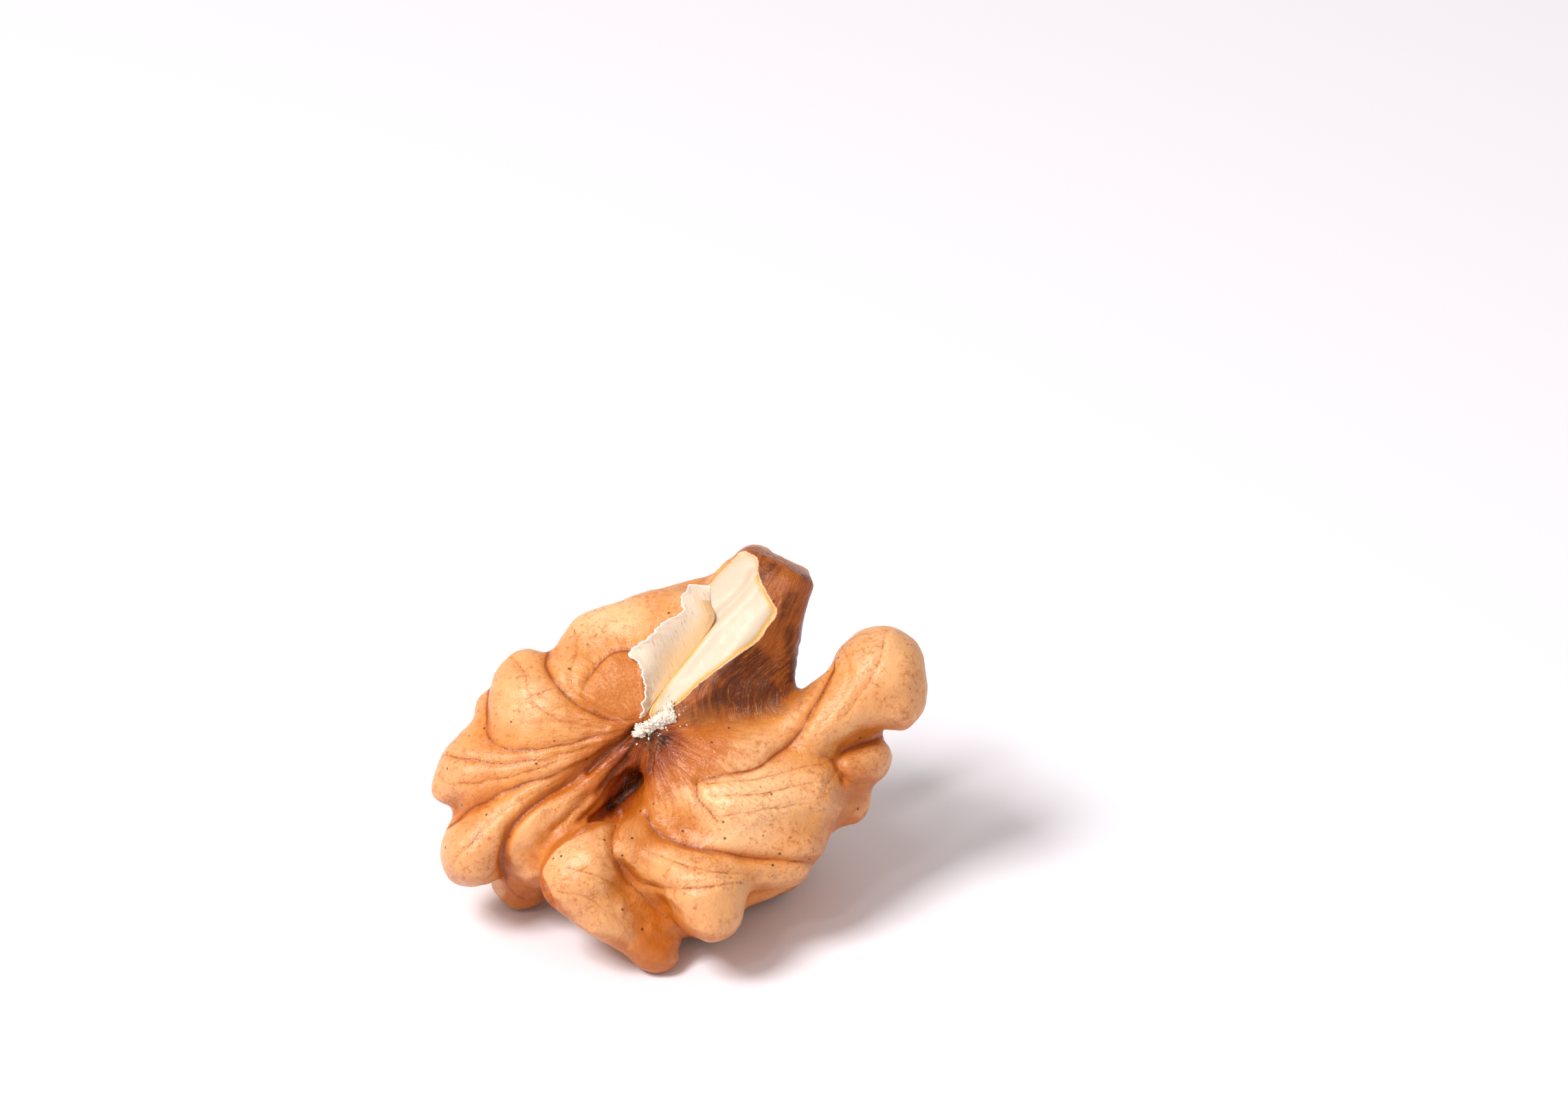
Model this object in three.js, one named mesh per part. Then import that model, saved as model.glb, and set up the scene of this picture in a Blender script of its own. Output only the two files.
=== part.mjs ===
// Half of a shelled walnut kernel: one seed leaf of two lobes, lying on its rounded outer side with
// the inner face leaning back. The stump of the bridge that joined it to the other half stands up
// between the lobes, broken open. Millimetres, +Z up, the part rests on Z = 0.
//
// The kernel is one grown piece, so it is one solid. Its folds are described one by one as soft
// rolls, their union is a smooth distance field, and a net is drawn over the field's zero level.
import * as THREE from "three";

// Driving dimensions
const FACE_LEAN = 30; // degrees that the face's normal is raised above the horizon
const TOP_RECEDE = 0.22; // how far the face falls back for each millimetre up
const FLOOR = -14; // height of what the kernel lies on, below the middle of its face
const NET_STEP = 0.76; // spacing of the net's cells

// Points are [across, up, out, radius] in the frame of the inner face: across runs towards the arm,
// up runs towards the bridge, and out comes off the face. Zero is where the veins of both lobes meet.

// A roll is a run of spheres along a smooth curve. blend is how softly it melts into its neighbours,
// and thin is its depth off the face as a share of its radius.
const leftLobe = [
  {
    blend: 2.4, thin: 0.55,
    path: [[-2.2, 3.4, -2.9, 4.0], [-6.2, 1.0, -3.3, 5.2], [-8.6, -3.2, -4.2, 4.6]],
  },
  {
    blend: 1.4, thin: 0.8,
    path: [[3.0, 7.6, -4.4, 3.1], [0.2, 6.9, -3.4, 3.0], [-3.5, 6.1, -3.9, 2.6]],
  },
  { blend: 1.0, thin: 0.6, path: [[-2.2, 3.8, -1.7, 2.3], [-1.4, 2.6, -1.5, 1.8]] },
  {
    blend: 1.0, thin: 0.8,
    path: [[-3.6, 1.4, -2.4, 2.2], [-6.6, 2.4, -3.0, 3.0], [-8.0, 2.9, -3.9, 3.1]],
  },
  { blend: 0.8, path: [[-9.6, 2.0, -4.4, 1.9], [-11.0, 2.2, -4.8, 1.3]] },
  { blend: 1.3, path: [[-3.0, -0.4, -2.6, 1.5], [-7.4, -1.2, -3.2, 2.0], [-12.0, -2.0, -4.6, 2.4]] },
  { blend: 0.7, path: [[-12.2, -2.6, -4.8, 2.0], [-13.5, -3.3, -5.0, 1.5]] },
  { blend: 1.4, path: [[-3.6, -1.8, -2.8, 1.2], [-8.2, -4.6, -2.6, 2.0], [-11.6, -7.2, -4.2, 2.5]] },
  { blend: 0.8, path: [[-12.4, -5.6, -5.4, 1.5], [-12.4, -8.0, -5.8, 1.95]] },
  { blend: 1.4, path: [[-2.6, -1.8, -3.2, 1.2], [-5.6, -4.9, -4.2, 1.8], [-8.0, -8.0, -5.6, 2.0]] },
  { blend: 0.8, path: [[-8.6, -7.6, -7.8, 2.5], [-9.0, -9.5, -9.8, 2.15]] },
];

const rightLobe = [
  {
    blend: 2.2, thin: 0.7,
    path: [[2.2, -0.6, -2.4, 2.8], [5.6, -2.6, -2.0, 4.2], [9.0, -3.6, -3.0, 3.6]],
  },
  { blend: 1.2, path: [[1.2, -3.4, -2.0, 1.9], [5.2, -4.3, -1.3, 2.6], [9.9, -3.6, -2.0, 2.1]] },
  { blend: 1.0, path: [[6.6, -1.2, -2.6, 2.2], [11.2, 1.4, -2.2, 2.3], [14.9, 4.6, -2.4, 2.8]] },
  { blend: 0.8, path: [[15.1, 4.4, -2.4, 2.9], [15.4, 2.9, -2.8, 2.75]] },
  { blend: 0.9, path: [[10.4, -3.0, -2.4, 1.9], [13.2, -0.9, -4.8, 2.7]] },
  { blend: 0.8, path: [[10.6, -4.4, -4.8, 1.9], [12.6, -4.1, -5.2, 1.8]] },
  { blend: 0.9, path: [[-0.4, -6.6, -1.8, 1.8], [-3.4, -7.5, -1.0, 2.2], [-5.2, -9.1, -1.2, 2.3]] },
  {
    blend: 0.8,
    path: [
      [-5.0, -9.2, -1.6, 2.3], [-3.4, -11.0, -2.0, 2.1],
      [-1.6, -12.3, -3.2, 1.7], [0.2, -13.6, -4.2, 1.85],
    ],
  },
  { blend: 1.0, path: [[1.2, -7.6, -1.2, 2.2], [3.4, -9.6, -0.6, 2.8], [3.6, -10.9, -0.8, 2.5]] },
  { blend: 1.0, path: [[4.6, -7.6, -1.6, 2.5], [8.8, -7.1, -2.8, 2.5]] },
  { blend: 0.8, path: [[5.0, -8.6, -8.6, 2.8], [8.0, -8.5, -10.4, 2.2]] },
  { blend: 1.2, path: [[-1.4, -7.4, -2.2, 1.9], [-1.2, -9.6, -2.6, 1.9], [0.4, -11.4, -3.8, 1.8]] },
  { blend: 1.2, path: [[0.6, -0.6, -1.8, 1.5], [0.9, -3.0, -1.8, 1.6], [0.1, -5.4, -1.8, 1.7]] },
  { blend: 1.2, path: [[-1.6, -9.2, -5.6, 3.0], [1.0, -10.6, -5.4, 2.9], [3.4, -11.2, -5.8, 2.4]] },
];

// The bridge's stump: a wall that stands off the face and widens to a block at its top.
const bridge = [
  { blend: 1.8, path: [[2.6, 0.8, -2.8, 1.8], [6.2, 3.8, -3.4, 2.6], [7.4, 7.4, -3.2, 2.2]] },
  { blend: 1.2, path: [[-0.5, 1.8, -1.2, 0.9], [-0.6, 4.8, -1.0, 1.0], [2.3, 8.8, -1.8, 1.0]] },
];

// The stump's broken block is what lies behind all of these planes: each is a point [across, up,
// out] on the plane and the way that it faces.
const stump = {
  round: 0.5,
  blend: 1.0,
  planes: [
    { name: "top", point: [6.0, 12.9, 0], facing: [0.45, 0.89, 0.1] },
    { name: "right", point: [10.75, 10.4, 0], facing: [0.97, -0.25, -0.1] },
    { name: "upper left", point: [4.2, 11.3, 0], facing: [-0.61, 0.79, 0] },
    { name: "lower left", point: [3.4, 10.0, 0], facing: [-0.92, 0.39, 0] },
    { name: "foot", point: [1.0, 1.2, 0], facing: [-0.5, -0.87, 0] },
    { name: "lower right", point: [8.9, 3.0, 0], facing: [0.5, -0.87, 0] },
    { name: "back", point: [7.0, 9.0, -5.2], facing: [0, 0, -1] },
    { name: "broken face", point: [5.0, 5.2, 1.0], facing: [-0.35, 0.25, 0.9] },
    { name: "side", point: [5.0, 5.2, 1.0], facing: [0.5, -0.42, 0.76] },
  ],
};

// The outer side behind the face: one rounded body for each lobe, a bridge of flesh between them,
// and folds that wander over them.
const bodies = [
  { name: "left body", centre: [-5.6, -2.0, -4.0], size: [7.0, 7.2, 11.2] },
  { name: "right body", centre: [4.4, -4.2, -4.0], size: [7.4, 7.2, 12.4] },
  { name: "upper body", centre: [1.6, 2.6, -4.0], size: [5.0, 5.0, 6.0] },
];
const BODY_FRONT = -3.4; // the bodies lie behind this depth
const core = [
  { blend: 1.6, path: [[0.4, 1.0, -4.6, 2.4], [-1.6, -3.6, -6.4, 2.4], [-2.4, -7.0, -6.0, 2.6]] },
];

const lean = THREE.MathUtils.degToRad(FACE_LEAN);

// Puts a fold on the bodies' outer side, but never lower than what the kernel lies on.
function onBodies([across, up, radius]) {
  const depths = bodies.map(({ centre, size }) => {
    const x = (across - centre[0]) / size[0];
    const y = (up - centre[1]) / size[1];
    return centre[2] - size[2] * Math.sqrt(Math.max(0.02, 1 - x * x - y * y));
  });
  const deep = Math.min(...depths) + radius * 0.25;
  const lowest = (FLOOR + radius - 0.05 - Math.cos(lean) * up) / Math.sin(lean) + TOP_RECEDE * up;
  return [across, up, Math.max(deep, lowest), radius];
}
const wanderings = [
  [[-2.0, 6.6, 1.9], [-4.6, 4.8, 2.0], [-3.4, 2.6, 1.8], [-6.4, 2.6, 1.9], [-8.4, 3.4, 1.6]],
  [[-10.6, 1.0, 1.7], [-9.0, 0.2, 1.8], [-9.6, -2.4, 1.8], [-12.0, -3.4, 1.7]],
  [[-2.2, 1.0, 1.8], [-5.4, 0.0, 1.9], [-6.6, -2.2, 1.8], [-4.2, -3.2, 1.8]],
  [[-9.0, -4.6, 1.8], [-6.4, -5.0, 1.9], [-6.2, -7.2, 1.8], [-8.4, -7.6, 1.8]],
  [[-11.6, -5.8, 1.7], [-10.8, -8.4, 1.6]],
  [[4.4, 7.0, 1.8], [2.0, 5.4, 1.9], [3.6, 3.2, 1.9], [2.0, 1.2, 1.8]],
  [[7.4, 3.6, 1.6], [6.4, 1.2, 1.8], [9.2, 0.4, 1.7], [11.2, -1.4, 1.7]],
  [[4.0, 0.0, 1.7], [5.0, -2.4, 1.9], [8.2, -2.4, 1.8], [8.0, -4.6, 1.8], [10.6, -5.4, 1.7]],
  [[1.2, -1.8, 1.8], [2.4, -4.4, 1.9], [5.2, -5.0, 1.9], [6.0, -7.2, 1.9], [8.6, -7.8, 1.8]],
  [[-1.2, -5.0, 1.7], [0.6, -7.0, 1.9], [-1.6, -9.2, 1.8]],
  [[3.2, -7.4, 1.9], [2.0, -9.4, 1.8], [4.8, -9.8, 1.8]],
];
const outerFolds = wanderings.map((points) => ({ blend: 0.8, path: points.map(onBodies) }));

const folds = [...leftLobe, ...rightLobe, ...bridge, ...core, ...outerFolds];

// A groove is cut along a curve over the face: points are [across, up].
const grooves = [
  { depth: 0.5, width: 0.8, path: [[-7.3, 6.4], [-7.2, 4.9], [-6.7, 3.8], [-4.9, 2.1], [-3.0, 1.3]] },
  { depth: 0.3, width: 0.7, path: [[-1.2, 5.9], [-3.0, 5.5], [-4.3, 4.2], [-4.6, 3.1], [-4.0, 2.0]] },
  {
    depth: 0.4, width: 0.8,
    path: [[-11.3, 3.4], [-11.3, 1.4], [-10.9, -0.1], [-9.3, -0.7], [-6.7, -0.5], [-4.2, 0.1]],
  },
  {
    depth: 0.4, width: 0.9,
    path: [[-13.4, -4.9], [-11.4, -4.2], [-8.4, -2.9], [-6.0, -2.1], [-3.9, -1.0]],
  },
  {
    depth: 0.8, width: 1.0,
    path: [[-10.0, -9.6], [-10.1, -7.9], [-9.4, -5.8], [-8.0, -4.4], [-6.0, -3.1], [-3.6, -1.4]],
  },
  {
    depth: 0.4, width: 0.8,
    path: [[11.9, 4.5], [10.7, 2.3], [9.5, 0.2], [8.4, -0.8], [6.3, -2.0], [3.2, -2.6]],
  },
  {
    depth: 0.5, width: 0.8,
    path: [[15.4, 0.2], [13.9, -0.3], [12.6, -0.9], [12.2, -1.7], [12.5, -2.6]],
  },
  {
    depth: 0.5, width: 0.8,
    path: [[-0.5, -4.9], [0.0, -5.8], [1.4, -6.7], [4.9, -7.5], [8.4, -7.9], [10.2, -8.1]],
  },
  {
    depth: 0.6, width: 0.8,
    path: [[-2.3, -5.1], [-2.7, -6.5], [-2.4, -8.1], [-0.9, -10.2], [0.2, -11.2]],
  },
  {
    depth: 0.6, width: 0.8,
    path: [[-1.6, -11.2], [-0.6, -11.9], [0.4, -12.7], [1.5, -13.4], [2.8, -13.9]],
  },
];

// The deep valley between the two lobes on the outer side.
const valleyBehind = {
  depth: 2.6,
  width: 1.3,
  path: [[4.4, 8.0], [3.0, 6.0], [0.2, 1.0], [-2.4, -3.6], [-4.8, -6.6]],
};

// The pit beside the middle, where the lobes part.
const pits = [{ centre: [-1.9, -3.3, -1.9], size: [1.0, 1.6, 1.8], turn: -40 }];

class Roll {
  constructor({ path, blend, thin = 1 }) {
    this.blend = blend;
    this.thin = thin;
    const curve = new THREE.CatmullRomCurve3(path.map(([x, y, z]) => new THREE.Vector3(x, y, z)));
    const pieces = 4 * (path.length - 1);
    const points = curve.getPoints(pieces);
    this.starts = points.slice(0, -1).map((point) => point.toArray());
    this.spans = this.starts.map((start, i) => points[i + 1].toArray().map((end, m) => end - start[m]));
    this.radii = points.map((_, i) => {
      const place = (i / pieces) * (path.length - 1);
      const k = Math.min(Math.floor(place), path.length - 2);
      return THREE.MathUtils.lerp(path[k][3], path[k + 1][3], place - k);
    });
  }
  distance(p) {
    let least = Infinity;
    for (let i = 0; i < this.spans.length; i++) {
      const [ax, ay, az] = this.starts[i];
      const [bx, by, bz] = this.spans[i];
      const [px, py, pz] = [p.x - ax, p.y - ay, p.z - az];
      const along = (px * bx + py * by + pz * bz) / (bx * bx + by * by + bz * bz);
      const t = Math.min(1, Math.max(0, along));
      const off = Math.hypot(px - t * bx, py - t * by, (pz - t * bz) / this.thin);
      least = Math.min(least, off - this.radii[i] * (1 - t) - this.radii[i + 1] * t);
    }
    return least;
  }
}

function softMin(a, b, k) {
  const h = Math.max(k - Math.abs(a - b), 0) / k;
  return Math.min(a, b) - (h * h * k) / 4;
}

const rolls = folds.map((fold) => new Roll(fold));

// About the distance to an ellipsoid's skin: it is negative inside.
function ellipsoidDistance(x, y, z, size) {
  const scaled = Math.hypot(x / size[0], y / size[1], z / size[2]);
  const slope = Math.hypot(x / size[0] ** 2, y / size[1] ** 2, z / size[2] ** 2);
  return slope > 0 ? (scaled * (scaled - 1)) / slope : -Math.min(...size);
}

function pitDistance(p, { centre, size, turn }) {
  const c = Math.cos(THREE.MathUtils.degToRad(turn));
  const s = Math.sin(THREE.MathUtils.degToRad(turn));
  const [x, y, z] = [p.x - centre[0], p.y - centre[1], p.z - centre[2]];
  return ellipsoidDistance(c * x + s * y, -s * x + c * y, z, size);
}

for (const plane of stump.planes) {
  plane.facing = new THREE.Vector3(...plane.facing).normalize();
  plane.offset = plane.facing.dot(new THREE.Vector3(...plane.point));
}
function stumpDistance(p) {
  let d = -Infinity;
  for (const { facing, offset } of stump.planes) {
    const side = facing.x * p.x + facing.y * p.y + facing.z * p.z - offset;
    d = d === -Infinity ? side : -softMin(-d, -side, stump.round);
  }
  return d;
}

class Groove {
  constructor({ path, depth, width }) {
    this.depth = depth;
    this.width = width;
    const curve = new THREE.CatmullRomCurve3(path.map(([x, y]) => new THREE.Vector3(x, y, 0)));
    this.points = curve.getPoints(6 * (path.length - 1));
  }
  cut(x, y) {
    let least = Infinity;
    for (let i = 0; i + 1 < this.points.length; i++) {
      const a = this.points[i];
      const span = [this.points[i + 1].x - a.x, this.points[i + 1].y - a.y];
      const along = ((x - a.x) * span[0] + (y - a.y) * span[1]) / (span[0] ** 2 + span[1] ** 2);
      const t = Math.min(1, Math.max(0, along));
      least = Math.min(least, (x - a.x - t * span[0]) ** 2 + (y - a.y - t * span[1]) ** 2);
    }
    return this.depth * Math.exp(-least / this.width ** 2);
  }
}
const cuts = grooves.map((groove) => new Groove(groove));
const valley = new Groove(valleyBehind);

function kernelField(across, up, out) {
  const p = { x: across, y: up, z: out + TOP_RECEDE * up };
  let d = Infinity;
  for (const roll of rolls) {
    const r = roll.distance(p);
    d = d === Infinity ? r : softMin(d, r, roll.blend);
  }
  d = softMin(d, stumpDistance(p), stump.blend);
  for (const { centre, size } of bodies) {
    const body = ellipsoidDistance(p.x - centre[0], p.y - centre[1], p.z - centre[2], size);
    d = softMin(d, -softMin(-body, BODY_FRONT - p.z, 1.5), 1.2);
  }
  for (const pit of pits) d = -softMin(-d, pitDistance(p, pit), 0.6);
  if (d < 2) {
    const front = THREE.MathUtils.smoothstep(p.z, -7, -5);
    if (front > 0) d += front * Math.max(...cuts.map((groove) => groove.cut(across, up)));
    const back = 1 - THREE.MathUtils.smoothstep(p.z, -9, -6);
    if (back > 0) d += back * valley.cut(across, up);
  }
  return Math.max(d, FLOOR - Math.cos(lean) * up - Math.sin(lean) * out);
}

const BARELY_INSIDE = -0.02;
const CELL = [0, 1, 2, 3, 4, 5, 6, 7].map((m) => [m & 1, (m >> 1) & 1, m >> 2]);

// Fills every hollow that can't be reached from outside.
function fillHollows(value, strides) {
  const reached = new Uint8Array(value.length);
  const queue = [0];
  reached[0] = 1;
  while (queue.length) {
    const c = queue.pop();
    for (const stride of strides) {
      for (const next of [c - stride, c + stride]) {
        if (next < 0 || next >= value.length || reached[next] || value[next] < 0) continue;
        reached[next] = 1;
        queue.push(next);
      }
    }
  }
  for (let c = 0; c < value.length; c++) {
    if (!reached[c] && value[c] >= 0) value[c] = BARELY_INSIDE;
  }
}

// Fills the grid corners across which two parts of the net would meet at a single edge or point.
function fillPinches(value, n, strides) {
  const fillNearest = (corners) => {
    const open = corners.filter((c) => value[c] >= 0);
    value[open.reduce((a, b) => (value[a] < value[b] ? a : b))] = BARELY_INSIDE;
  };
  let filled = true;
  while (filled) {
    filled = false;
    for (let k = 0; k + 1 < n[2]; k++) {
      for (let j = 0; j + 1 < n[1]; j++) {
        for (let i = 0; i + 1 < n[0]; i++) {
          const c = i * strides[0] + j * strides[1] + k * strides[2];
          for (let axis = 0; axis < 3; axis++) {
            const u = strides[(axis + 1) % 3];
            const v = strides[(axis + 2) % 3];
            const square = [c, c + u, c + v, c + u + v];
            const [p, q, r, s] = square.map((m) => value[m] < 0);
            if (p !== s || q !== r || p === q) continue;
            fillNearest(square);
            filled = true;
          }
          const cell = CELL.map(([x, y, z]) => c + x * strides[0] + y * strides[1] + z * strides[2]);
          const within = cell.map((m) => value[m] < 0);
          const count = within.filter(Boolean).length;
          for (let m = 0; m < 4; m++) {
            if (within[m] !== within[7 - m] || count !== (within[m] ? 2 : 6)) continue;
            fillNearest(cell);
            filled = true;
            break;
          }
        }
      }
    }
  }
}

// Where the field's zero level crosses the edges of one cell, on average; null where it doesn't.
function middleOfCrossings(value, first, strides) {
  const sum = [0, 0, 0];
  let count = 0;
  for (let edge = 0; edge < 12; edge++) {
    const axis = edge >> 2;
    const offset = [0, 0, 0];
    offset[(axis + 1) % 3] = edge & 1;
    offset[(axis + 2) % 3] = (edge >> 1) & 1;
    const start = first + offset[0] * strides[0] + offset[1] * strides[1] + offset[2] * strides[2];
    const a = value[start];
    const b = value[start + strides[axis]];
    if (a < 0 === b < 0) continue;
    offset[axis] = a / (a - b);
    offset.forEach((amount, m) => (sum[m] += amount));
    count++;
  }
  return count ? sum.map((total) => total / count) : null;
}

// A net of quads drawn over the zero level of a field inside a box, as one closed geometry.
function drawNet(field, low, high, step) {
  const n = low.map((start, i) => Math.ceil((high[i] - start) / step) + 1);
  const strides = [1, n[0], n[0] * n[1]];
  const at = (i, j, k) => i + j * strides[1] + k * strides[2];
  const value = new Float32Array(n[0] * n[1] * n[2]);
  const corners = [];
  const cornerOf = new Int32Array(value.length).fill(-1);
  const faces = [];
  const everyCell = (first, work) => {
    for (let k = first; k + 1 < n[2]; k++) {
      for (let j = first; j + 1 < n[1]; j++) {
        for (let i = first; i + 1 < n[0]; i++) work(i, j, k);
      }
    }
  };
  for (let c = 0; c < value.length; c++) {
    const place = [c % n[0], Math.floor(c / n[0]) % n[1], Math.floor(c / strides[2])];
    value[c] = field(...place.map((m, axis) => low[axis] + m * step));
  }
  fillPinches(value, n, strides);
  fillHollows(value, strides);
  everyCell(0, (i, j, k) => {
    const middle = middleOfCrossings(value, at(i, j, k), strides);
    if (!middle) return;
    cornerOf[at(i, j, k)] = corners.length / 3;
    corners.push(...[i, j, k].map((m, axis) => low[axis] + (m + middle[axis]) * step));
  });
  everyCell(1, (i, j, k) => {
    for (let axis = 0; axis < 3; axis++) {
      const here = at(i, j, k);
      const inside = value[here] < 0;
      if (inside === value[here + strides[axis]] < 0) continue;
      const u = strides[(axis + 1) % 3];
      const v = strides[(axis + 2) % 3];
      const quad = [here, here - u, here - u - v, here - v].map((c) => cornerOf[c]);
      if (!inside) quad.reverse();
      faces.push(quad[0], quad[1], quad[2], quad[0], quad[2], quad[3]);
    }
  });
  const geometry = new THREE.BufferGeometry();
  geometry.setAttribute("position", new THREE.Float32BufferAttribute(corners, 3));
  geometry.setIndex(faces);
  return geometry;
}

// Evens out the net, and moves each corner back onto the field's zero level.
function relax(geometry, field, rounds) {
  const place = geometry.attributes.position;
  const index = geometry.index.array;
  const e = 0.15;
  const neighbours = Array.from({ length: place.count }, () => new Set());
  for (let f = 0; f < index.length; f++) {
    const next = f % 3 === 2 ? f - 2 : f + 1;
    neighbours[index[f]].add(index[next]);
    neighbours[index[next]].add(index[f]);
  }
  const point = new THREE.Vector3();
  const mean = new THREE.Vector3();
  const slope = new THREE.Vector3();
  for (let round = 0; round < rounds; round++) {
    const moved = new Float32Array(place.array.length);
    for (let i = 0; i < place.count; i++) {
      mean.set(0, 0, 0);
      for (const other of neighbours[i]) mean.add(point.fromBufferAttribute(place, other));
      mean.divideScalar(neighbours[i].size);
      const { x, y, z } = point.fromBufferAttribute(place, i).lerp(mean, 0.6);
      slope.x = (field(x + e, y, z) - field(x - e, y, z)) / (2 * e);
      slope.y = (field(x, y + e, z) - field(x, y - e, z)) / (2 * e);
      slope.z = (field(x, y, z + e) - field(x, y, z - e)) / (2 * e);
      const far = THREE.MathUtils.clamp(field(x, y, z) / Math.max(slope.lengthSq(), 0.5), -0.25, 0.25);
      point.addScaledVector(slope, -far).toArray(moved, 3 * i);
    }
    place.array.set(moved);
  }
}

const geometry = drawNet(kernelField, [-17, -18, -20], [20, 15, 6], NET_STEP);
relax(geometry, kernelField, 5);

// The face frame is turned into the part's frame: out points forwards (-Y) and up by the lean.
const turn = new THREE.Matrix4().makeBasis(
  new THREE.Vector3(1, 0, 0),
  new THREE.Vector3(0, Math.sin(lean), Math.cos(lean)),
  new THREE.Vector3(0, -Math.cos(lean), Math.sin(lean)),
);
geometry.applyMatrix4(turn);
geometry.computeBoundingBox();
const { min, max } = geometry.boundingBox;
geometry.translate(-(min.x + max.x) / 2, -(min.y + max.y) / 2, -min.z);

const skin = new THREE.MeshStandardMaterial({ color: 0xd99a58, roughness: 0.5, metalness: 0 });
const kernel = new THREE.Mesh(geometry, skin);
kernel.name = "kernel_half";

const group = new THREE.Group();
group.add(kernel);
export default group;
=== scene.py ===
"""Half of a shelled walnut kernel, lying on its rounded outer side, dressed for a render.

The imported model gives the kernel's solid. This script makes a fine copy of it, cuts the folds and
veins of the seed coat into the copy, adds the peeled flap of skin and the crumbs at the break, and
gives each surface its finish. Lengths inside the classes are millimetres; Blender gets metres.
"""

import logging
import math
import random
import sys
from collections.abc import Callable
from dataclasses import dataclass, field
from enum import Enum
from functools import partial
from typing import Any

import bmesh
import bpy
import numpy as np
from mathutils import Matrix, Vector, noise
from mathutils.bvhtree import BVHTree
from mathutils.kdtree import KDTree

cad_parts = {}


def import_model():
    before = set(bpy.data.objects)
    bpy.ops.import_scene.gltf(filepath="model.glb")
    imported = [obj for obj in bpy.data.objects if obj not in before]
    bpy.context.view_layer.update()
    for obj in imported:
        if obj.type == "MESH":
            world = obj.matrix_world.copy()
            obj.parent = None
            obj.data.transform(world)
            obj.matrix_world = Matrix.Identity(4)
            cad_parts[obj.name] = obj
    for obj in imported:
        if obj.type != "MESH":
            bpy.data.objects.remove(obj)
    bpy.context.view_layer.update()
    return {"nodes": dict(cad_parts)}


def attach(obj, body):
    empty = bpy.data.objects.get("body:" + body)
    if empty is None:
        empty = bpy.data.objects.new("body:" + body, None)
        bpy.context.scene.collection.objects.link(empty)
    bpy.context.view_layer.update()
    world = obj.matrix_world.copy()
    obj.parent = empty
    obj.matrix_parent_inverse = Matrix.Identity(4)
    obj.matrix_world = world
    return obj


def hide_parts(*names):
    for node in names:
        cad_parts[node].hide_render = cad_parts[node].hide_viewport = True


MM = 0.001
ABOVE_FACE = 14.0  # a height over the inner face that clears all of the kernel
log = logging.getLogger("walnut")

Path = list[tuple[float, float]]
Spot = tuple[float, float, float, float, float]  # across, up, half width, half height, strength

# Settings that nodes share.
SOFT = {"interpolation_type": "SMOOTHSTEP"}  # Map Range: value, start, end, result at each
TIMES = {"operation": "MULTIPLY"}
TIMES_ADD = {"operation": "MULTIPLY_ADD"}  # the first times the second, plus the third
BLEND = {"data_type": "RGBA"}  # Mix: 0 is the amount, 6 the colour under and 7 the one over it


def linear(hex_colour: str) -> tuple[float, float, float, float]:
    """Turns an sRGB hex colour into a linear one with full alpha."""
    levels = [int(hex_colour[i : i + 2], 16) / 255 for i in (1, 3, 5)]
    return (*[v / 12.92 if v <= 0.04045 else ((v + 0.055) / 1.055) ** 2.4 for v in levels], 1.0)


def add_node(
    tree: bpy.types.NodeTree, kind: str, sockets: dict | tuple = (), out: str | int = 0, **settings: Any
) -> bpy.types.NodeSocket | None:
    """Adds one node to a tree, with its settings and links.

    Args:
        tree: the node tree that gets the node.
        kind: the node's type, without the "ShaderNode" in front.
        sockets: what goes into its inputs, by name or number, or in order: the output of
            another node, a hex colour or a plain value.
        out: which of its outputs is wanted.
        settings: properties of the node itself.

    Returns:
        The wanted output, or None if the node has no outputs.
    """
    node = tree.nodes.new("ShaderNode" + kind)
    for name, value in settings.items():
        setattr(node, name, value)
    for socket, value in sockets.items() if isinstance(sockets, dict) else enumerate(sockets):
        if isinstance(value, bpy.types.NodeSocket):
            tree.links.new(value, node.inputs[socket])
        else:
            node.inputs[socket].default_value = linear(value) if isinstance(value, str) else value
    return node.outputs[out] if node.outputs else None


def new_material(name: str) -> tuple[bpy.types.Material, Callable[..., bpy.types.NodeSocket]]:
    """Starts a material with no nodes.

    Args:
        name: the material's name.

    Returns:
        The material, and add_node with the material's tree filled in.
    """
    material = bpy.data.materials.new(name)
    material.use_nodes = True
    material.node_tree.nodes.clear()
    return material, partial(add_node, material.node_tree)


def only(piece: bpy.types.Object) -> None:
    """Makes this object the only selected one, and the active one."""
    bpy.ops.object.select_all(action="DESELECT")
    piece.select_set(True)
    bpy.context.view_layer.objects.active = piece


def write_layer(mesh: bpy.types.Mesh, name: str, values: np.ndarray) -> None:
    """Writes an attribute of the mesh's vertices.

    Args:
        mesh: the mesh that gets it.
        name: the attribute's name, which its material reads.
        values: one number, or one row of three, for each vertex.
    """
    kind, slot = ("FLOAT_VECTOR", "vector") if values.ndim == 2 else ("FLOAT", "value")
    layer = mesh.attributes.new(name, kind, "POINT")
    layer.data.foreach_set(slot, values.astype(np.float32).ravel())


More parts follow.
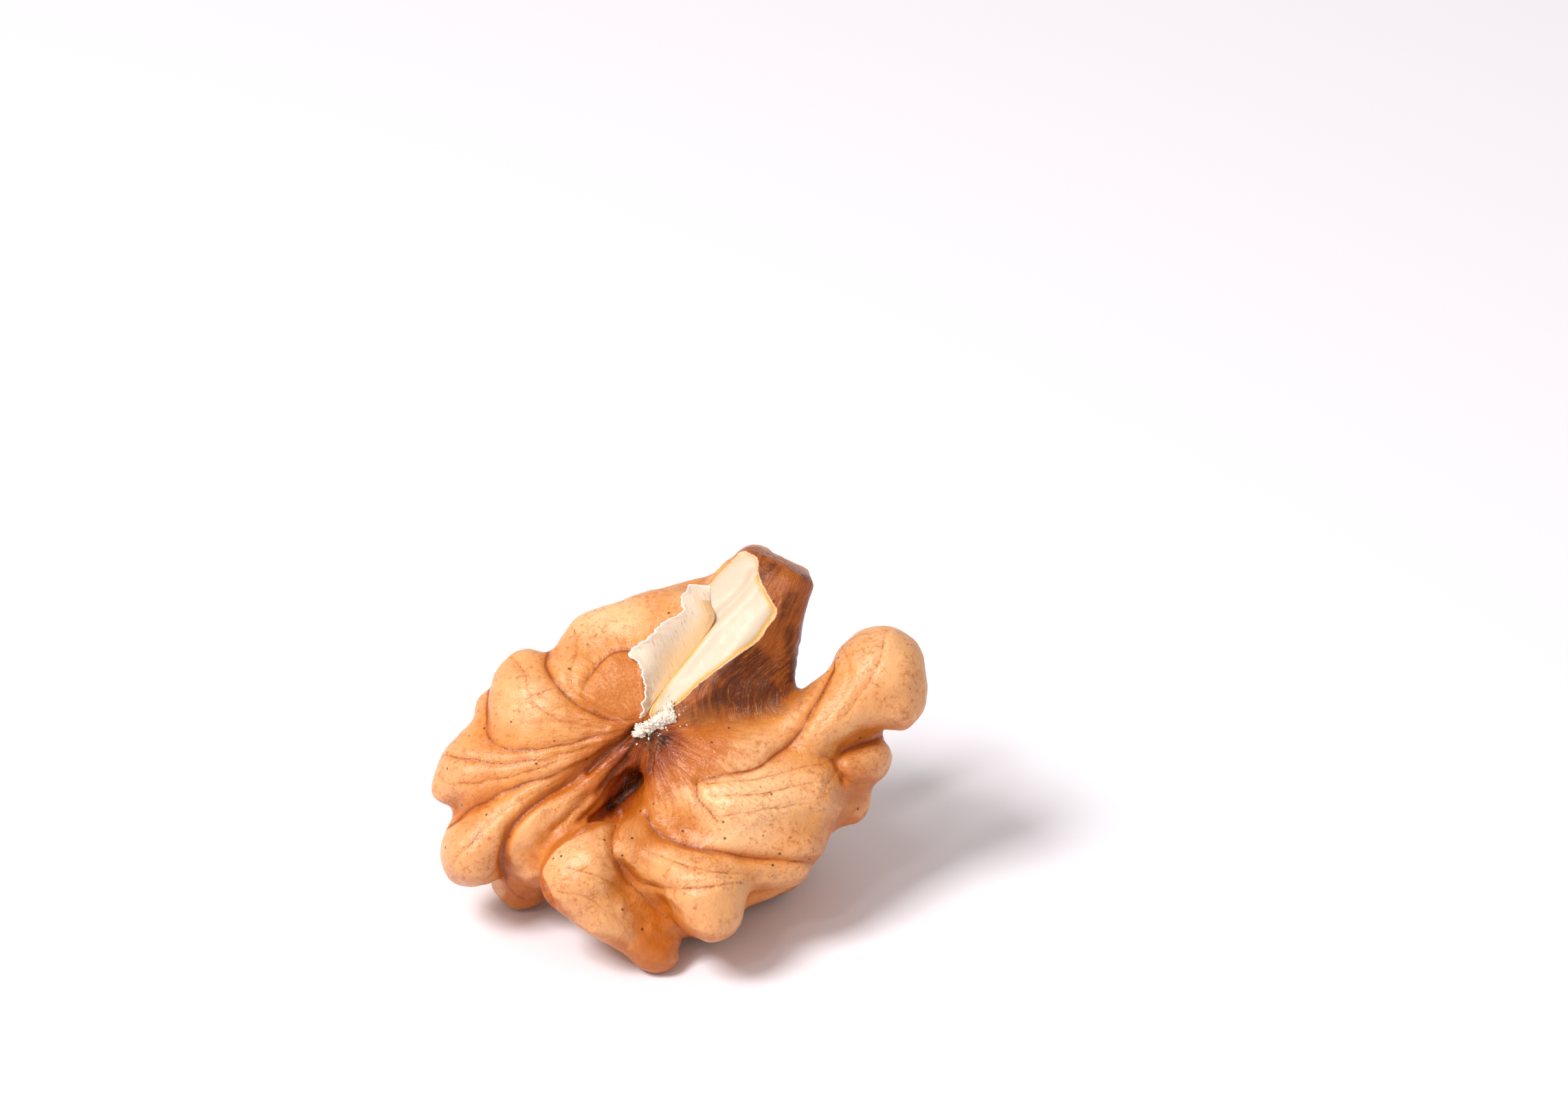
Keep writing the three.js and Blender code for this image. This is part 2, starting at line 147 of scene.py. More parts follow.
def smooth_path(points: list, spacing: float) -> np.ndarray:
    """Runs a smooth curve through points.

    Args:
        points: the places it passes, each a tuple of two or three numbers.
        spacing: about how far apart the curve's own points are.

    Returns:
        The curve's points, one row each.
    """
    p = np.array(points, float)
    p = np.vstack([2 * p[0] - p[1], p, 2 * p[-1] - p[-2]])
    rows = []
    for a, b, c, d in zip(p[:-3], p[1:-2], p[2:-1], p[3:]):
        count = max(2, int(np.linalg.norm(c - b) / spacing) + 1)
        t = np.linspace(0, 1, count, endpoint=False)[:, None]
        curve = 2 * b + (c - a) * t + (2 * a - 5 * b + 4 * c - d) * t**2 + (3 * b - a - 3 * c + d) * t**3
        rows.append(0.5 * curve)
    return np.vstack([*rows, p[-2:-1]])


def fade(value: np.ndarray, start: float, end: float) -> np.ndarray:
    """A soft step from 0 at start to 1 at end; end may be the smaller one."""
    t = np.clip((value - start) / (end - start), 0, 1)
    return t * t * (3 - 2 * t)


def bell(distance: np.ndarray, width: float, centre: float = 0.0) -> np.ndarray:
    """A soft bump that is 1 where the distance is centre, and fades over about a width."""
    return np.exp(-(((distance - centre) / width) ** 2))


def inside_distance(points: np.ndarray, outline: np.ndarray) -> np.ndarray:
    """Signed distance from a closed outline.

    Args:
        points: places in the plane, one row each.
        outline: the outline's corners in order.

    Returns:
        One distance for each point, positive inside the outline.
    """
    least = np.full(len(points), 1e9)
    crossings = np.zeros(len(points), int)
    for a, b in zip(outline, np.roll(outline, -1, axis=0)):
        span = b - a
        t = np.clip(((points - a) @ span) / (span @ span), 0, 1)
        least = np.minimum(least, np.linalg.norm(points - a - t[:, None] * span, axis=1))
        level = (a[1] > points[:, 1]) != (b[1] > points[:, 1])
        rise = b[1] - a[1] if b[1] != a[1] else 1e-9
        at = a[0] + (points[:, 1] - a[1]) * (b[0] - a[0]) / rise
        crossings += level & (points[:, 0] < at)
    return np.where(crossings % 2 == 1, least, -least)


def wavy(points: np.ndarray, size: float, octaves: int = 2, seed: float = 0.0) -> np.ndarray:
    """Smooth noise, about -1 to 1.

    Args:
        points: places, one row of three each, in millimetres.
        size: how wide one wave is, in millimetres.
        octaves: how many finer layers are added.
        seed: moves the pattern, so that two patterns differ.

    Returns:
        One value for each point.
    """
    shift = Vector((seed * 7.3, seed * 3.1, seed * 5.7))
    return np.array([noise.fractal(Vector(p) / size + shift, 1.0, 2.0, octaves) for p in points])


def drift(points: np.ndarray, size: float, amount: float) -> np.ndarray:
    """Moves points about by a smooth noise, so that what is measured from them wavers.

    Args:
        points: places, one row of three each, in millimetres.
        size: how wide one wave is.
        amount: how far they move.

    Returns:
        The moved points.
    """
    return points + amount * np.array([noise.noise_vector(Vector(p) / size) for p in points])


@dataclass(frozen=True)
class FaceFrame:
    """The frame of the kernel's inner face: across, up and out, from where the veins meet.

    Attributes:
        middle: where the veins meet, in the part's frame.
        lean: how far the face's normal is raised above the horizon, in degrees.
    """

    middle: tuple[float, float, float] = (-1.578, -2.435, 14.0)
    lean: float = 30.0

    def axes(self) -> np.ndarray:
        """The face's across, up and out directions in the part's frame, one row each."""
        s, c = math.sin(math.radians(self.lean)), math.cos(math.radians(self.lean))
        return np.array([[1, 0, 0], [0, s, c], [0, -c, s]], float)

    def inwards(self) -> Vector:
        """The direction straight into the face."""
        return Vector(-self.axes()[2])

    def from_part(self, points: np.ndarray) -> np.ndarray:
        """Part positions as across, up and out."""
        return (points - np.array(self.middle)) @ self.axes().T

    def to_part(self, points: np.ndarray) -> np.ndarray:
        """Across, up and out as part positions."""
        return points @ self.axes() + np.array(self.middle)

    def above(self, spot: tuple[float, float] | np.ndarray) -> Vector:
        """The place over a spot of the face that is clear of all the kernel."""
        return Vector(self.to_part(np.array([[*spot, ABOVE_FACE]]))[0])


FACE = FaceFrame()


# ---------------------------------------------------------------------------------------------
# Finishes


@dataclass(frozen=True)
class SeedCoat:
    """Dried seed coat of walnut: a thin waxy skin, semi-gloss, with branching veins.

    The eye reads it from honey-coloured swellings, amber hollows, thin rust-brown veins with
    hairline branches, small dark specks, and a soft waxy highlight. Its colour also carries
    painted shade in the hollows and on the undersides, and painted light on the ridges and lit patches.
    the cream flesh shows, which is denser and almost matt.
    """

    name: str = "walnut_seed_coat"
    pale: str = "#f3c595"
    honey: str = "#d88f46"
    tan: str = "#cb7a35"
    amber: str = "#b65f0d"
    rust: str = "#8a3604"
    oxblood: str = "#321004"
    vein: str = "#8a3c0e"
    hairline: str = "#b06226"
    speck: str = "#54260c"
    boss: str = "#c0702a"
    bark: str = "#a05210"
    dark_bark: str = "#561f00"
    pale_bark: str = "#cd8a50"
    flesh: str = "#d2c3ae"
    flesh_shade: str = "#d3bfaa"
    flesh_yellow: str = "#dba647"
    torn_edge: str = "#dab992"
    roughness: float = 0.31
    patch_mm: float = 3.0  # width of the paler and darker patches
    mottle_mm: float = 0.7  # width of the fine mottling
    freckle_mm: float = 0.36  # width of the amber freckles
    stipple_mm: float = 0.24  # width of the grains on the boss
    blotch_mm: float = 1.6  # width of the blotches on the stump
    speck_mm: float = 1.15  # spacing of the dark specks
    pore_mm: float = 0.2  # width of the coat's fine wrinkles
    relief_mm: float = 0.09  # height of the finest relief

    def make(self) -> bpy.types.Material:
        """Builds the material from layers of colour, each laid over the last by an amount."""
        material, node = new_material(self.name)
        place = node("TexCoord", out="Object")
        marks = (
            "vein", "hair", "flesh", "facet", "hollow", "broad_hollow_shade", "stain_and_shade", "stump", "boss", "radial", "painted_light",
        )
        mark = {name: node("Attribute", out="Fac", attribute_name=name) for name in marks}
        grain = node("Attribute", out="Vector", attribute_name="grain")
        fibre = node("Attribute", out="Vector", attribute_name="fibre")

        # What each noise follows, how many of its waves go in a unit of that, detail, roughness.
        noises = {
            "patches": (place, 1 / (self.patch_mm * MM), 4.0, 0.5),
            "mottle": (place, 1 / (self.mottle_mm * MM), 5.0, 0.6),
            "freckles": (place, 1 / (self.freckle_mm * MM), 5.0, 0.7),
            "stipple": (place, 1 / (self.stipple_mm * MM), 3.0, 0.6),
            "blotches": (place, 1 / (self.blotch_mm * MM), 3.0, 0.5),
            "net_gaps": (place, 1 / (2.6 * MM), 2.0, 0.5),
            "tatters": (place, 1 / (0.4 * MM), 3.0, 0.5),
            "cream": (place, 1 / (2.4 * MM), 2.0, 0.5),
            "pores": (place, 1 / (self.pore_mm * MM), 4.0, 0.5),
            "streaks": (grain, 1.0, 4.0, 0.65),
            "fine_streaks": (grain, 2.7, 3.0, 0.6),
            "long_fibres": (fibre, 1.0, 5.0, 0.55),
            "thin_fibres": (fibre, 2.6, 4.0, 0.6),
        }
        tone = {
            name: node("TexNoise", {"Vector": vector, "Scale": scale, "Detail": detail, "Roughness": rough})
            for name, (vector, scale, detail, rough) in noises.items()
        }

        # Patches of honey and tan with fine mottling; ridges get painted light in pale, and hollows painted
        # shade in amber.
        mottle = tone["mottle"]
        tan = node("Math", (tone["patches"], mottle))
        ridge_light = node("Math", (mottle, -0.3, mark["broad_hollow_shade"]), **TIMES_ADD)
        # Painted light: the lit patches of the lobes are paler.
        painted_light = node("Math", (mottle, 0.5, mark["painted_light"]), **TIMES_ADD)
        broad_hollow_shade = node("Math", (mottle, 0.25, mark["broad_hollow_shade"]), **TIMES_ADD)
        freckled = node("MapRange", (tone["freckles"], 0.48, 0.7, 0.0, 0.75), **SOFT)
        where = node("MapRange", (tone["patches"], 0.32, 0.56), **SOFT)
        layers = [
            (self.tan, node("MapRange", (tan, 0.8, 1.25), **SOFT)),
            (self.pale, node("MapRange", (ridge_light, 0.0, -0.45, 0.0, 0.4), **SOFT)),
            (self.pale, node("MapRange", (painted_light, 0.3, 1.2, 0.0, 0.85), **SOFT)),
            (self.amber, node("MapRange", (broad_hollow_shade, 0.12, 0.6, 0.0, 0.7), **SOFT)),
            (self.amber, node("MapRange", (mark["hollow"], 0.02, 0.12, 0.0, 0.5), **SOFT)),
            (self.amber, node("Math", (freckled, where), **TIMES)),
        ]

        # Fine fibres that run out from the middle, and the textured boss beside the flap.
        fine = node("MapRange", (tone["fine_streaks"], 0.5, 0.66), **SOFT)
        broad = node("MapRange", (tone["streaks"], 0.5, 0.68), **SOFT)
        streak = node("Math", (node("Math", (fine, 0.7, broad), **TIMES_ADD), mark["radial"]), **TIMES)
        grains = node("MapRange", (tone["stipple"], 0.3, 0.6, 0.35, 1.0), **SOFT)
        layers += [(self.amber, streak), (self.boss, node("Math", (mark["boss"], grains), **TIMES))]

        # The stain round the middle, amber, then rust, then almost black, broken up by fibres. The same
        # layers paint shade in the pit, on the undersides, under the knobs and in the cleft.
        threads = node("Math", (tone["streaks"], tone["fine_streaks"]))
        threads = node("Math", (threads, 0.9, 0.25), **TIMES_ADD)
        stain_and_shade_amount = node("Math", (threads, mark["stain_and_shade"]), **TIMES)
        layers += [
            (self.amber, node("MapRange", (stain_and_shade_amount, 0.1, 0.45, 0.0, 0.9), **SOFT)),
            (self.rust, node("MapRange", (stain_and_shade_amount, 0.5, 1.0, 0.0, 0.9), **SOFT)),
            (self.oxblood, node("MapRange", (stain_and_shade_amount, 1.05, 1.6, 0.0, 0.95), **SOFT)),
        ]

        # The stump's side: brown, darker in blotches and at its foot, where the stain and its painted shade
        # reach, with pale fibres along it.
        dark = node("Math", (tone["long_fibres"], tone["blotches"]))
        dark = node("Math", (mark["stain_and_shade"], 0.85, dark), **TIMES_ADD)
        dark = node("MapRange", (dark, 0.86, 1.3, 0.0, 0.9), **SOFT)
        light = node("MapRange", (tone["thin_fibres"], 0.58, 0.74, 0.0, 0.6), **SOFT)
        bark = node("Mix", {0: dark, 6: self.bark, 7: self.dark_bark}, 2, **BLEND)
        bark = node("Mix", {0: light, 6: bark, 7: self.pale_bark}, 2, **BLEND)
        layers.append((bark, mark["stump"]))

        # A net of hairlines, the branches, and the main veins with a soft amber border.
        bent = node("TexNoise", {"Vector": place, "Scale": 1 / (1.8 * MM), "Detail": 3.0}, "Color")
        bent = node("VectorMath", (bent, (2.2, 2.2, 2.2), grain), **TIMES_ADD)
        net = node("TexVoronoi", {"Vector": bent, "Scale": 0.8}, "Distance", feature="DISTANCE_TO_EDGE")
        net = node("MapRange", (net, 0.045, 0.01, 0.0, 0.34), **SOFT)
        where = node("MapRange", (tone["net_gaps"], 0.42, 0.62), **SOFT)
        hair = node("MapRange", (mark["hair"], 1.5, 0.4, 0.0, 0.5), **SOFT)
        layers += [
            (self.hairline, node("Math", (net, where), **TIMES)),
            (self.hairline, hair),
            (self.amber, node("MapRange", (mark["vein"], 3.2, 0.8, 0.0, 0.35), **SOFT)),
            (self.vein, node("MapRange", (mark["vein"], 1.35, 0.4, 0.0, 0.85), **SOFT)),
        ]

        # Specks: a small dark dot in some cells of a scattered pattern.
        cells = node("TexVoronoi", {"Vector": place, "Scale": 1 / (self.speck_mm * MM)}, "Distance")
        chosen = node("SeparateColor", (cells.node.outputs["Color"],))
        chosen = node("MapRange", (chosen, 0.26, 0.28, 0.0, 0.85), **SOFT)
        dot = node("MapRange", (cells, 0.11, 0.06), **SOFT)
        layers.append((self.speck, node("Math", (dot, chosen), **TIMES)))

        # The flesh: cream, with painted shade on its upper left facet, yellow beside the coat's thin torn
        # edge.
        ragged = node("Math", (tone["tatters"], 0.22, mark["flesh"]), **TIMES_ADD)
        shade = node("MapRange", (tone["cream"], 0.4, 0.7, 0.0, 0.2), **SOFT)
        shade = node("Math", (shade, 0.6, mark["facet"]), **TIMES_ADD)
        near_edge = node("MapRange", (ragged, 0.62, 0.2), **SOFT)
        off_facet = node("MapRange", (mark["facet"], 0.6, 0.2, 0.25, 1.0), **SOFT)
        yolk = node("Math", (near_edge, off_facet), **TIMES)
        flesh = node("Mix", {0: shade, 6: self.flesh, 7: self.flesh_shade}, 2, **BLEND)
        flesh = node("Mix", {0: yolk, 6: flesh, 7: self.flesh_yellow}, 2, **BLEND)
        layers += [
            (self.torn_edge, node("MapRange", (ragged, 0.06, 0.1), **SOFT)),
            (flesh, node("MapRange", (ragged, 0.16, 0.21), **SOFT)),
        ]
        colour = self.honey
        for cover, amount in layers:
            colour = node("Mix", {0: amount, 6: colour, 7: cover}, 2, **BLEND)

        # Fine wrinkles, fibres and slightly raised veins. The flesh is smoother.
        relief = node("Math", (streak, 0.6, tone["pores"]), **TIMES_ADD)
        raised = node("Math", (tone["stipple"], mark["boss"]), **TIMES)
        relief = node("Math", (raised, 0.9, relief), **TIMES_ADD)
        relief = node("Math", (hair, 0.25, relief), **TIMES_ADD)
        raised = node("Math", (tone["thin_fibres"], tone["long_fibres"]))
        raised = node("Math", (raised, mark["stump"]), **TIMES)
        relief = node("Math", (raised, 1.6, relief), **TIMES_ADD)
        strength = node("MapRange", (mark["flesh"], 0.1, 0.3, 0.6, 0.12), **SOFT)
        bump = node("Bump", {"Height": relief, "Strength": strength, "Distance": self.relief_mm * MM})

        # The gloss varies with the mottling; the flesh and the boss are duller.
        low, high = self.roughness - 0.05, self.roughness + 0.12
        gloss = node("MapRange", (mottle, 0.3, 0.7, low, high), **SOFT)
        bare = node("MapRange", (mark["flesh"], 0.1, 0.3), **SOFT)
        gloss = node("Math", (bare, 0.12, gloss), **TIMES_ADD)
        gloss = node("Math", (mark["boss"], 0.15, gloss), **TIMES_ADD)
        shader = node(
            "BsdfPrincipled",
            {
                "Base Color": colour,
                "Roughness": gloss,
                "Normal": bump,
                "IOR": 1.44,
                "Subsurface Weight": 0.2,
                "Subsurface Radius": (1.0, 0.45, 0.2),
                "Subsurface Scale": 1.0 * MM,
            },
        )
        node("OutputMaterial", {"Surface": shader})
        return material


@dataclass(frozen=True)
class PeeledSkin:
    """The same coat peeled off as a dry sheet: papery, pale and pinkish, with fine fibres.

    Its torn edge is almost white, and a little light comes through it.
    """

    name: str = "peeled_papery_skin"
    pale: str = "#e4cdb9"
    held: str = "#d8aa7a"
    streak: str = "#b87f56"
    torn: str = "#ece6df"
    roughness: float = 0.6
    relief_mm: float = 0.06  # height of the fibres

    def make(self) -> bpy.types.Material:
        """Builds the material."""
        material, node = new_material(self.name)
        along = node("Attribute", out="Vector", attribute_name="grain")
        edge = node("Attribute", out="Fac", attribute_name="torn")
        fibres = node("TexNoise", {"Vector": along, "Scale": 1.0, "Detail": 4.0, "Roughness": 0.6})
        layers = [
            (self.pale, node("MapRange", (edge, 0.1, 0.75), **SOFT)),
            (self.streak, node("MapRange", (fibres, 0.54, 0.74, 0.0, 0.7), **SOFT)),
            (self.torn, node("MapRange", (edge, 0.92, 0.98), **SOFT)),
        ]
        colour = self.held
        for cover, amount in layers:
            colour = node("Mix", {0: amount, 6: colour, 7: cover}, 2, **BLEND)
        relief = node("Bump", {"Height": fibres, "Strength": 0.6, "Distance": self.relief_mm * MM})
        shader = node(
            "BsdfPrincipled",
            {
                "Base Color": colour,
                "Normal": relief,
                "Roughness": self.roughness,
                "IOR": 1.45,
                "Subsurface Weight": 0.3,
                "Subsurface Radius": (1.0, 0.6, 0.4),
                "Subsurface Scale": 0.5 * MM,
            },
        )
        node("OutputMaterial", {"Surface": shader})
        return material


@dataclass(frozen=True)
class DryCrumb:
    """Crumbled dry tissue from the bridge: chalky, off-white, quite matt."""

    name: str = "dry_crumbled_tissue"
    chalk: str = "#e8e0d6"
    dust: str = "#c89e7c"
    roughness: float = 0.85
    grit_mm: float = 0.35  # width of the crumb's grains
    relief_mm: float = 0.05  # height of the grains

    def make(self) -> bpy.types.Material:
        """Builds the material."""
        material, node = new_material(self.name)
        place = node("TexCoord", out="Object")
        grit = node("TexNoise", {"Vector": place, "Scale": 1 / (self.grit_mm * MM), "Detail": 4.0})
        dusty = node("MapRange", (grit, 0.5, 0.72), **SOFT)
        colour = node("Mix", {0: dusty, 6: self.chalk, 7: self.dust}, 2, **BLEND)
        relief = node("Bump", {"Height": grit, "Strength": 0.7, "Distance": self.relief_mm * MM})
        shader = node(
            "BsdfPrincipled",
            {"Base Color": colour, "Normal": relief, "Roughness": self.roughness, "IOR": 1.45},
        )
        node("OutputMaterial", {"Surface": shader})
        return material


@dataclass(frozen=True)
class PalePaper:
    """Matt white paper under the kernel, with a faint cool tint."""

    name: str = "matt_white_paper"
    white: str = "#eff0fb"
    roughness: float = 0.9

    def make(self) -> bpy.types.Material:
        """Builds the material."""
        material, node = new_material(self.name)
        shader = node("BsdfPrincipled", {"Base Color": self.white, "Roughness": self.roughness})
        node("OutputMaterial", {"Surface": shader})
        return material


# ---------------------------------------------------------------------------------------------
# Veins


class Rank(Enum):
    """Which of the coat's veins one is; the value names the mark that it leaves."""

    MAIN = "vein"
    HAIR = "hair"


@dataclass
class Crease:
    """A crease of the inner face, with the vein that runs along it.

    Attributes:
        path: where it runs, across and up.
        depth: how deep the crease is.
        width: half its width.
        lip: how far the skin swells beside it.
        vein: half the vein's width, or 0 for a crease with no vein.
        stain_and_shade: how strongly it is darkened, and half that band's width: stain close to the middle,
            painted shade in the cleft between the lobes.
    """

    path: Path
    depth: float = 0.3
    width: float = 0.35
    lip: float = 0.06
    vein: float = 0.13
    stain_and_shade: tuple[float, float] | None = None


@dataclass
class Strand:
    """One vein laid on the surface: its points, and half its width at each."""

    points: np.ndarray
    widths: np.ndarray
    rank: Rank = Rank.MAIN


@dataclass
class Surface:
    """The kernel's surface, as arrays that the sculpting works on.

    Attributes:
        place: a vertex position per row, in the part's frame.
        edges: the two vertices of each edge.
        faces: the four vertices of each face.
    """

    place: np.ndarray
    edges: np.ndarray
    faces: list = field(repr=False, default_factory=list)

    def blur(self, values: np.ndarray, rounds: int) -> np.ndarray:
        """Averages values with their neighbours.

        Args:
            values: one number, or one row, for each vertex.
            rounds: how many times.

        Returns:
            The blurred values.
        """
        n = len(self.place)
        a, b = self.edges.T
        count = np.bincount(a, minlength=n) + np.bincount(b, minlength=n)
        out = values.reshape(n, -1).astype(float)
        for _ in range(rounds):
            sums = [
                np.bincount(a, weights=c[b], minlength=n) + np.bincount(b, weights=c[a], minlength=n)
                for c in out.T
            ]
            out = 0.5 * out + 0.5 * np.stack(sums, axis=1) / count[:, None]
        return out.reshape(values.shape)

    def normals(self) -> np.ndarray:
        """The vertex normals as the surface is now.

        Returns:
            One unit row for each vertex.
        """
        f = np.array(self.faces)
        p = self.place
        n = np.cross(p[f[:, 2]] - p[f[:, 0]], p[f[:, 3]] - p[f[:, 1]])
        total = np.zeros_like(p)
        for k in range(4):
            for axis in range(3):
                total[:, axis] += np.bincount(f[:, k], weights=n[:, axis], minlength=len(p))
        return total / (np.linalg.norm(total, axis=1, keepdims=True) + 1e-12)

    def tree(self) -> BVHTree:
        """A search tree of the surface as it is now."""
        return BVHTree.FromPolygons([Vector(p) for p in self.place], self.faces)


def strand_reach(strands: list[Strand], places: np.ndarray) -> tuple[np.ndarray, np.ndarray]:
    """How far each place is from the nearest strand.

    Args:
        strands: the veins.
        places: positions, one row each.

    Returns:
        The distances, and half the vein's width at the nearest point of each.
    """
    points = np.vstack([s.points for s in strands])
    widths = np.concatenate([s.widths for s in strands])
    tree = KDTree(len(points))
    for i, p in enumerate(points):
        tree.insert(p, i)
    tree.balance()
    found = [tree.find(p) for p in places]
    return np.array([f[2] for f in found]), widths[[f[1] for f in found]]


@dataclass
class VeinNet:
    """The veins of the seed coat: those in the creases, and hairlines that branch from them.

    Attributes:
        creases: the creases of the inner face.
        outer_veins: how many main veins wander over the outer side.
        outer_width: half the width of those.
        hair_width: half the width of a hairline where it starts.
        step: how far a wandering vein goes before it turns.
        rim: how far from the middle a vein must end to run on over the edge.
        seed: fixes every random choice.
        strands: every vein, once they are grown.
    """

    creases: list[Crease]
    outer_veins: int = 16
    outer_width: float = 0.12
    hair_width: float = 0.085
    step: float = 0.22
    rim: float = 9.0
    seed: int = 11
    strands: list[Strand] = field(default_factory=list)

    def lay_on(self, path: Path, tree: BVHTree, spacing: float = 0.1) -> np.ndarray:
        """Drops a path of the face's plane onto the surface below it.

        Args:
            path: the path, across and up.
            tree: the surface.
            spacing: about how far apart the points are.

        Returns:
            The points on the surface, in the part's frame.
        """
        hits = [tree.ray_cast(FACE.above(spot), FACE.inwards())[0] for spot in smooth_path(path, spacing)]
        return np.array([h for h in hits if h is not None])

    def walk(
        self, start: Vector, heading: Vector, tree: BVHTree, length: float, chance: random.Random,
        turn: float = 0.25,
    ) -> np.ndarray:
        """Wanders over the surface.

        Args:
            start: where it starts.
            heading: the way it sets out.
            tree: the surface.
            length: how far it goes.
            chance: the source of its turns.
            turn: how sharply it may wander.

        Returns:
            The points that it passes, on the surface.
        """
        points, bend = [], chance.gauss(0, 0.04)
        spot, normal, _, _ = tree.find_nearest(start)
        for _ in range(int(length / self.step)):
            points.append(spot.copy())
            heading = heading - normal * heading.dot(normal)
            if heading.length < 1e-6:
                break
            heading.normalize()
            side = normal.cross(heading)
            bend = 0.8 * bend + chance.gauss(0, turn * 0.18)
            heading = (heading + side * bend).normalized()
            spot, normal, _, _ = tree.find_nearest(spot + heading * self.step)
        return np.array(points)

    def branch_from(
        self, strand: Strand, tree: BVHTree, chance: random.Random, every: float, reach: float
    ) -> None:
        """Grows hairlines off a strand, on alternating sides, shorter towards its end.

        Args:
            strand: the vein that they leave.
            tree: the surface.
            chance: the source of its choices.
            every: about how far apart they leave it.
            reach: about how long the first ones are.
        """
        gap = np.linalg.norm(np.diff(strand.points, axis=0), axis=1)
        far = np.concatenate([[0], np.cumsum(gap)])
        if far[-1] < every:
            return
        side = chance.choice([-1, 1])
        at = every * chance.uniform(0.3, 0.9)
        while at < far[-1]:
            i = min(int(np.searchsorted(far, at)), len(strand.points) - 2)
            spot = Vector(strand.points[i])
            way = Vector(strand.points[i + 1] - strand.points[i]).normalized()
            _, normal, _, _ = tree.find_nearest(spot)
            angle = chance.uniform(0.35, 0.8) * side
            heading = way * math.cos(angle) + normal.cross(way) * math.sin(angle)
            length = reach * chance.uniform(0.45, 1.1) * (1 - 0.5 * at / far[-1])
            points = self.walk(spot, heading, tree, length, chance)
            if len(points) > 3:
                taper = np.linspace(1, 0.45, len(points))
                self.strands.append(Strand(points, self.hair_width * taper, Rank.HAIR))
            side = -side
            at += every * chance.uniform(0.6, 1.5)

    def run_creases(self, tree: BVHTree, chance: random.Random) -> None:
        """Lays the veins of the creases, and runs those that reach the rim on over the edge.

        Args:
            tree: the surface.
            chance: the source of their turns.
        """
        for crease in self.creases:
            points = self.lay_on(crease.path, tree)
            if not crease.vein:
                continue
            self.strands.append(Strand(points, crease.vein * np.linspace(1.1, 0.7, len(points))))
            ends = [(points[-1], points[-1] - points[-6]), (points[0], points[0] - points[5])]
            end, way = max(ends, key=lambda e: np.linalg.norm(FACE.from_part(e[0])[:2]))
            if np.linalg.norm(FACE.from_part(end)[:2]) > self.rim:
                on = self.walk(Vector(end), Vector(way), tree, chance.uniform(4, 7), chance)
                self.strands.append(Strand(on, crease.vein * np.linspace(0.9, 0.5, len(on))))

    def grow(self, tree: BVHTree) -> None:
        """Lays every vein on the surface: creases, the outer side, then two ranks of hairlines."""
        chance = random.Random(self.seed)
        self.run_creases(tree, chance)
        for k in range(self.outer_veins):
            angle = 2 * math.pi * (k + chance.uniform(-0.3, 0.3)) / self.outer_veins
            ring = [1 + 3 * math.cos(angle), -2 + 3 * math.sin(angle), -20.0]
            start = Vector(FACE.to_part(np.array([ring]))[0])
            heading = Vector(FACE.axes()[0] * math.cos(angle) + FACE.axes()[1] * math.sin(angle))
            points = self.walk(start, heading, tree, chance.uniform(9, 15), chance, 0.45)
            if len(points) > 3:
                taper = np.linspace(1.0, 0.5, len(points))
                self.strands.append(Strand(points, self.outer_width * taper))
        for strand in list(self.strands):
            self.branch_from(strand, tree, chance, 1.15, 4.5)
        for strand in [s for s in self.strands if s.rank is Rank.HAIR]:
            self.branch_from(strand, tree, chance, 2.0, 1.8)
